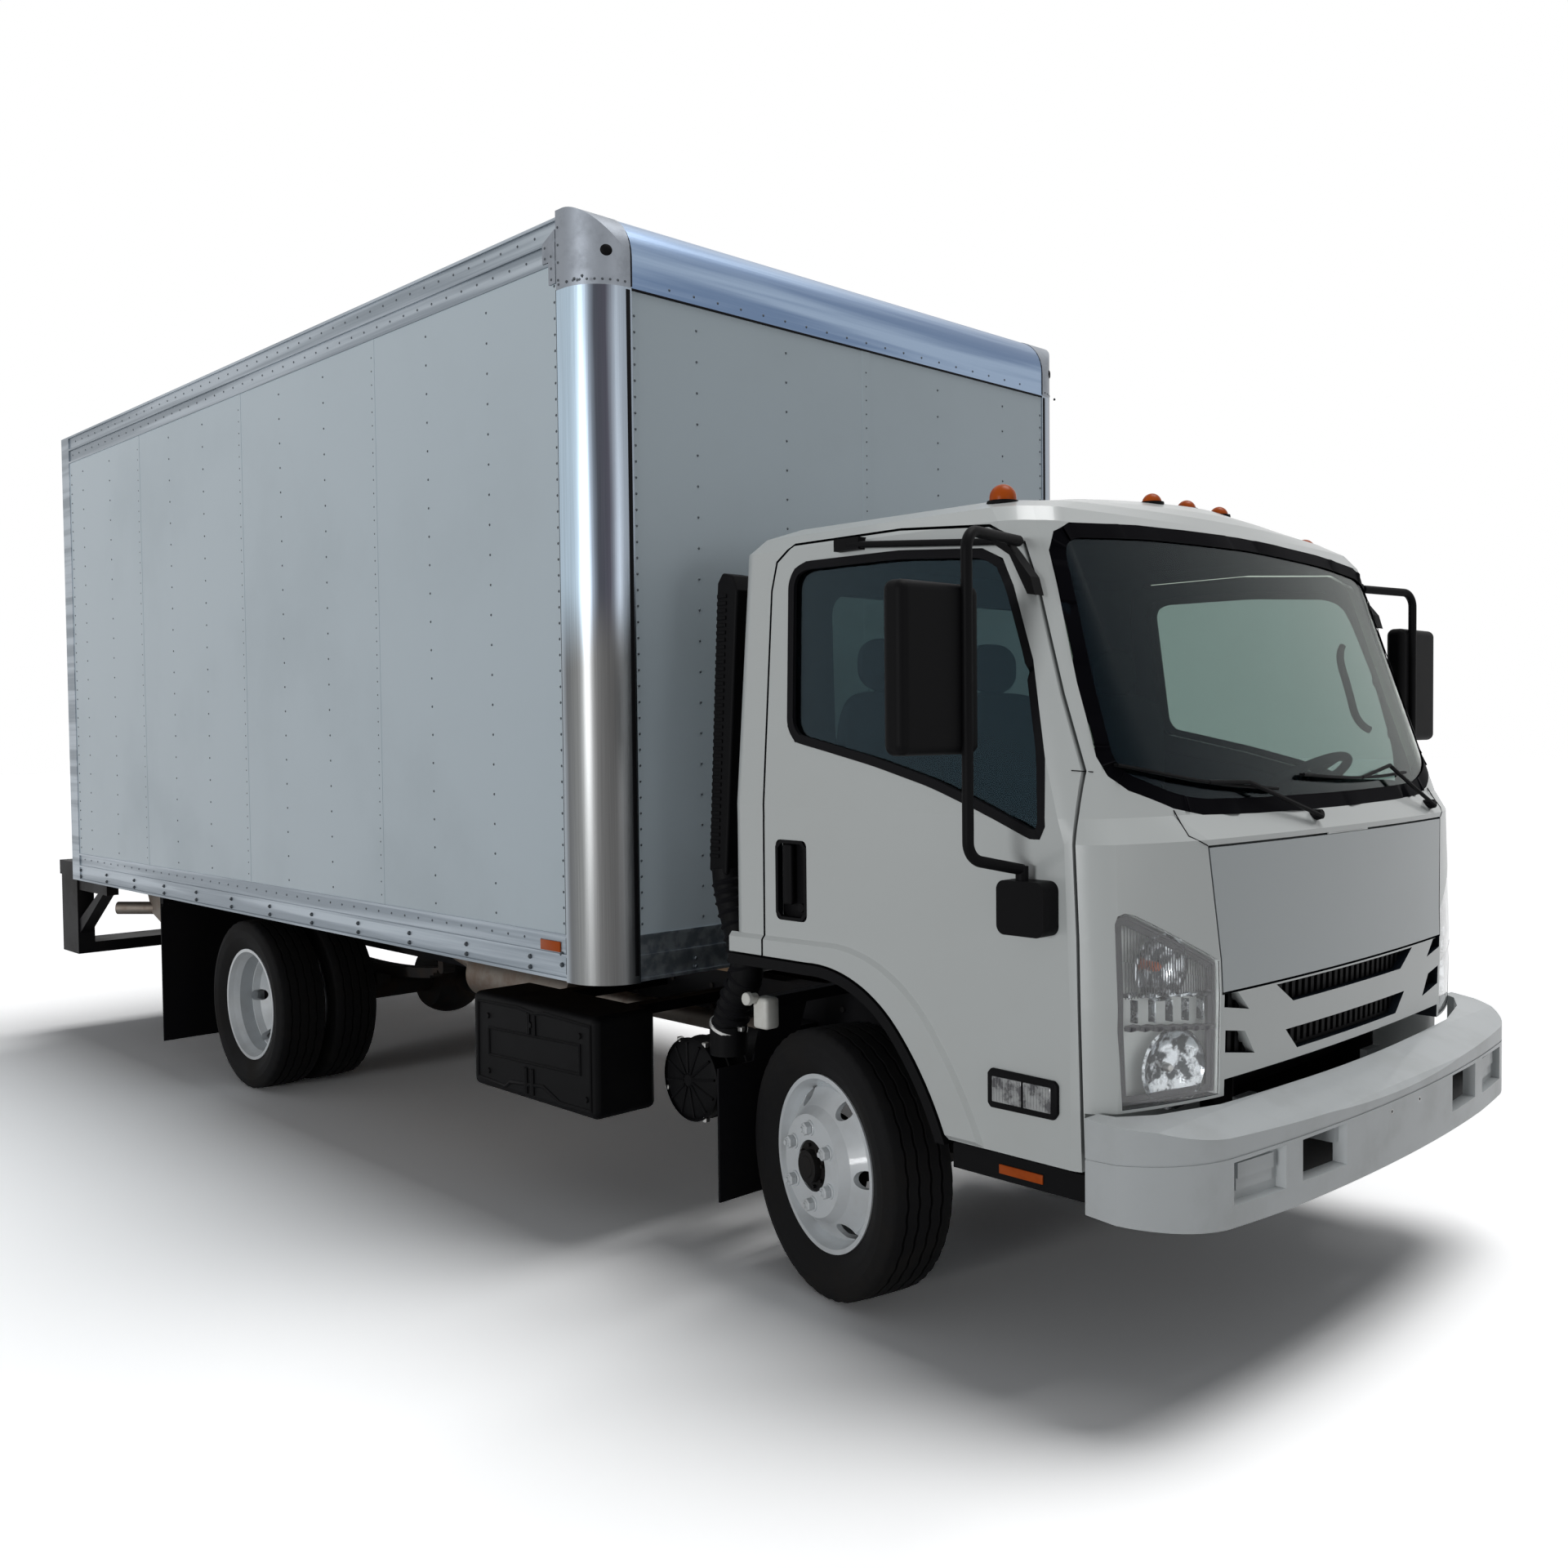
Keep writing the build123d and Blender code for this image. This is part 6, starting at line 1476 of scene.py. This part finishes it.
def studio():
    """World, floor and three soft suns."""
    scene = bpy.context.scene
    scene.view_settings.view_transform = "Standard"
    world = bpy.data.worlds.new("studio")
    scene.world = world
    world.use_nodes = True
    tree = world.node_tree
    background = tree.nodes["Background"]
    set_inputs(background, Color=(0.93, 0.96, 1.0, 1.0), Strength=WORLD_STRENGTH)
    plain = tree.nodes.new("ShaderNodeBackground")
    set_inputs(plain, Color=grey(1.0), Strength=1.0)
    mix_shaders(tree, seen_plainly(tree), background.outputs[0], plain.outputs[0], "World Output")
    bm = bmesh.new()
    bmesh.ops.create_grid(bm, x_segments=1, y_segments=1, size=FLOOR_REACH)
    mesh = bpy.data.meshes.new("floor")
    bm.to_mesh(mesh)
    bm.free()
    floor = bpy.data.objects.new("floor", mesh)
    scene.collection.objects.link(floor)
    material, tree, shader = blank_material("Studio floor")
    set_inputs(shader, Roughness=1.0, Specular_IOR_Level=0.0)
    # plain white where it is seen, so that only the shadow shows, and a grey card to the truck
    link(tree, blend_colours(tree, seen_plainly(tree), grey(0.42), grey(1.55)), shader.inputs["Base Color"])
    mesh.materials.append(material)
    for name, source, strength, spread, colour in SUNS:
        data = bpy.data.lights.new(name, "SUN")
        data.angle = spread
        data.energy = strength
        data.color = colour
        lamp = bpy.data.objects.new(name, data)
        lamp.matrix_world = Vector(source).to_track_quat("Z", "Y").to_matrix().to_4x4()
        scene.collection.objects.link(lamp)


# ------------------------------------------------------------------ add-on classes
class TruckSizes(bpy.types.PropertyGroup):
    rivet_radius: bpy.props.FloatProperty(
        name="Rivet radius", description="Radius of a wall rivet's head", default=0.0048, unit="LENGTH")
    rivet_height: bpy.props.FloatProperty(
        name="Rivet height", description="How far a rivet's head stands proud", default=0.0022, unit="LENGTH")
    dense_pitch: bpy.props.FloatProperty(
        name="Close rivet pitch", description="Rivet pitch down a lap; the other rows are twice as wide",
        default=0.0508, unit="LENGTH")


class TruckColours(bpy.types.PropertyGroup):
    cab_paint: bpy.props.FloatVectorProperty(
        name="Cab paint", description="White of the cab", default=(0.485, 0.51, 0.505), subtype="COLOR", min=0, max=1)
    wall_sheet: bpy.props.FloatVectorProperty(
        name="Wall sheet", description="Cool white of the van body's walls", default=(0.46, 0.535, 0.585),
        subtype="COLOR", min=0, max=1)


class TRUCK_OT_finishes(bpy.types.Operator):
    """Build the materials and give the frame's nodes their finishes"""
    bl_idname = "truck.finishes"
    bl_label = "Finishes"

    def execute(self, context):
        make_materials()
        paint_nodes()
        return {"FINISHED"}


class TRUCK_OT_van_body(bpy.types.Operator):
    """Add the rivets, laps, seals, a painted shadow strip, bolts, caps' details, reflectors and rear door hardware"""
    bl_idname = "truck.van_body"
    bl_label = "Van body"

    def execute(self, context):
        wall_fasteners()
        wall_laps()
        post_seals_and_shadow_strip()
        rail_bolts()
        cap_details()
        reflectors()
        rear_door_hardware()
        return {"FINISHED"}


class TRUCK_OT_wheels(bpy.types.Operator):
    """Add treaded tyres, wheel nuts and hub covers"""
    bl_idname = "truck.wheels"
    bl_label = "Wheels"

    def execute(self, context):
        wheel_pieces()
        return {"FINISHED"}


class TRUCK_OT_glazing(bpy.types.Operator):
    """Add the windscreen's border, window seals, wipers and mirror glasses"""
    bl_idname = "truck.glazing"
    bl_label = "Glazing"

    def execute(self, context):
        windscreen_border()
        window_seals()
        mirror_glasses()
        wipers()
        cab_seams()
        roof_lamp_bases()
        return {"FINISHED"}


class TRUCK_OT_doors(bpy.types.Operator):
    """Add door pulls, side lamps and inner panels"""
    bl_idname = "truck.doors"
    bl_label = "Doors"

    def execute(self, context):
        door_fittings()
        return {"FINISHED"}


class TRUCK_OT_front(bpy.types.Operator):
    """Add what is inside the headlamps and on the bumper"""
    bl_idname = "truck.front"
    bl_label = "Lamps and bumper"

    def execute(self, context):
        headlamp_insides()
        bumper_details()
        return {"FINISHED"}


class TRUCK_OT_equipment(bpy.types.Operator):
    """Add the ribs, louvres, clips, bottle, treads and bolts of the chassis equipment"""
    bl_idname = "truck.equipment"
    bl_label = "Chassis equipment"

    def execute(self, context):
        battery_ribs()
        intake_details()
        coolant_bottle()
        step_details()
        flap_battens()
        frame_bolts()
        return {"FINISHED"}


class TRUCK_OT_interior(bpy.types.Operator):
    """Add the seat pads and the dash trim"""
    bl_idname = "truck.interior"
    bl_label = "Interior"

    def execute(self, context):
        seat_pads()
        cab_interior()
        return {"FINISHED"}


class TRUCK_OT_stage(bpy.types.Operator):
    """Add the floor, lights and camera"""
    bl_idname = "truck.stage"
    bl_label = "Stage"

    def execute(self, context):
        camera()
        studio()
        return {"FINISHED"}


OPERATORS = (TRUCK_OT_finishes, TRUCK_OT_van_body, TRUCK_OT_wheels, TRUCK_OT_glazing, TRUCK_OT_doors,
             TRUCK_OT_front, TRUCK_OT_equipment, TRUCK_OT_interior, TRUCK_OT_stage)


class TRUCK_PT_panel(bpy.types.Panel):
    """Lists the truck's operators and values"""
    bl_idname = "TRUCK_PT_panel"
    bl_label = "Box Truck"
    bl_space_type = "VIEW_3D"
    bl_region_type = "UI"
    bl_category = "Box Truck"

    def draw(self, context):
        layout = self.layout
        for group in (context.scene.truck_sizes, context.scene.truck_colours):
            for name in group.__annotations__:
                layout.prop(group, name)
        for operator in OPERATORS:
            layout.operator(operator.bl_idname)


CLASSES = (TruckSizes, TruckColours, *OPERATORS, TRUCK_PT_panel)


def register():
    for one in CLASSES:
        bpy.utils.register_class(one)
    bpy.types.Scene.truck_sizes = bpy.props.PointerProperty(type=TruckSizes)
    bpy.types.Scene.truck_colours = bpy.props.PointerProperty(type=TruckColours)


def unregister():
    del bpy.types.Scene.truck_colours
    del bpy.types.Scene.truck_sizes
    for one in reversed(CLASSES):
        bpy.utils.unregister_class(one)


def main():
    register()
    for operator in OPERATORS:
        group, name = operator.bl_idname.split(".")
        getattr(getattr(bpy.ops, group), name)()


if __name__ == "__main__":
    main()
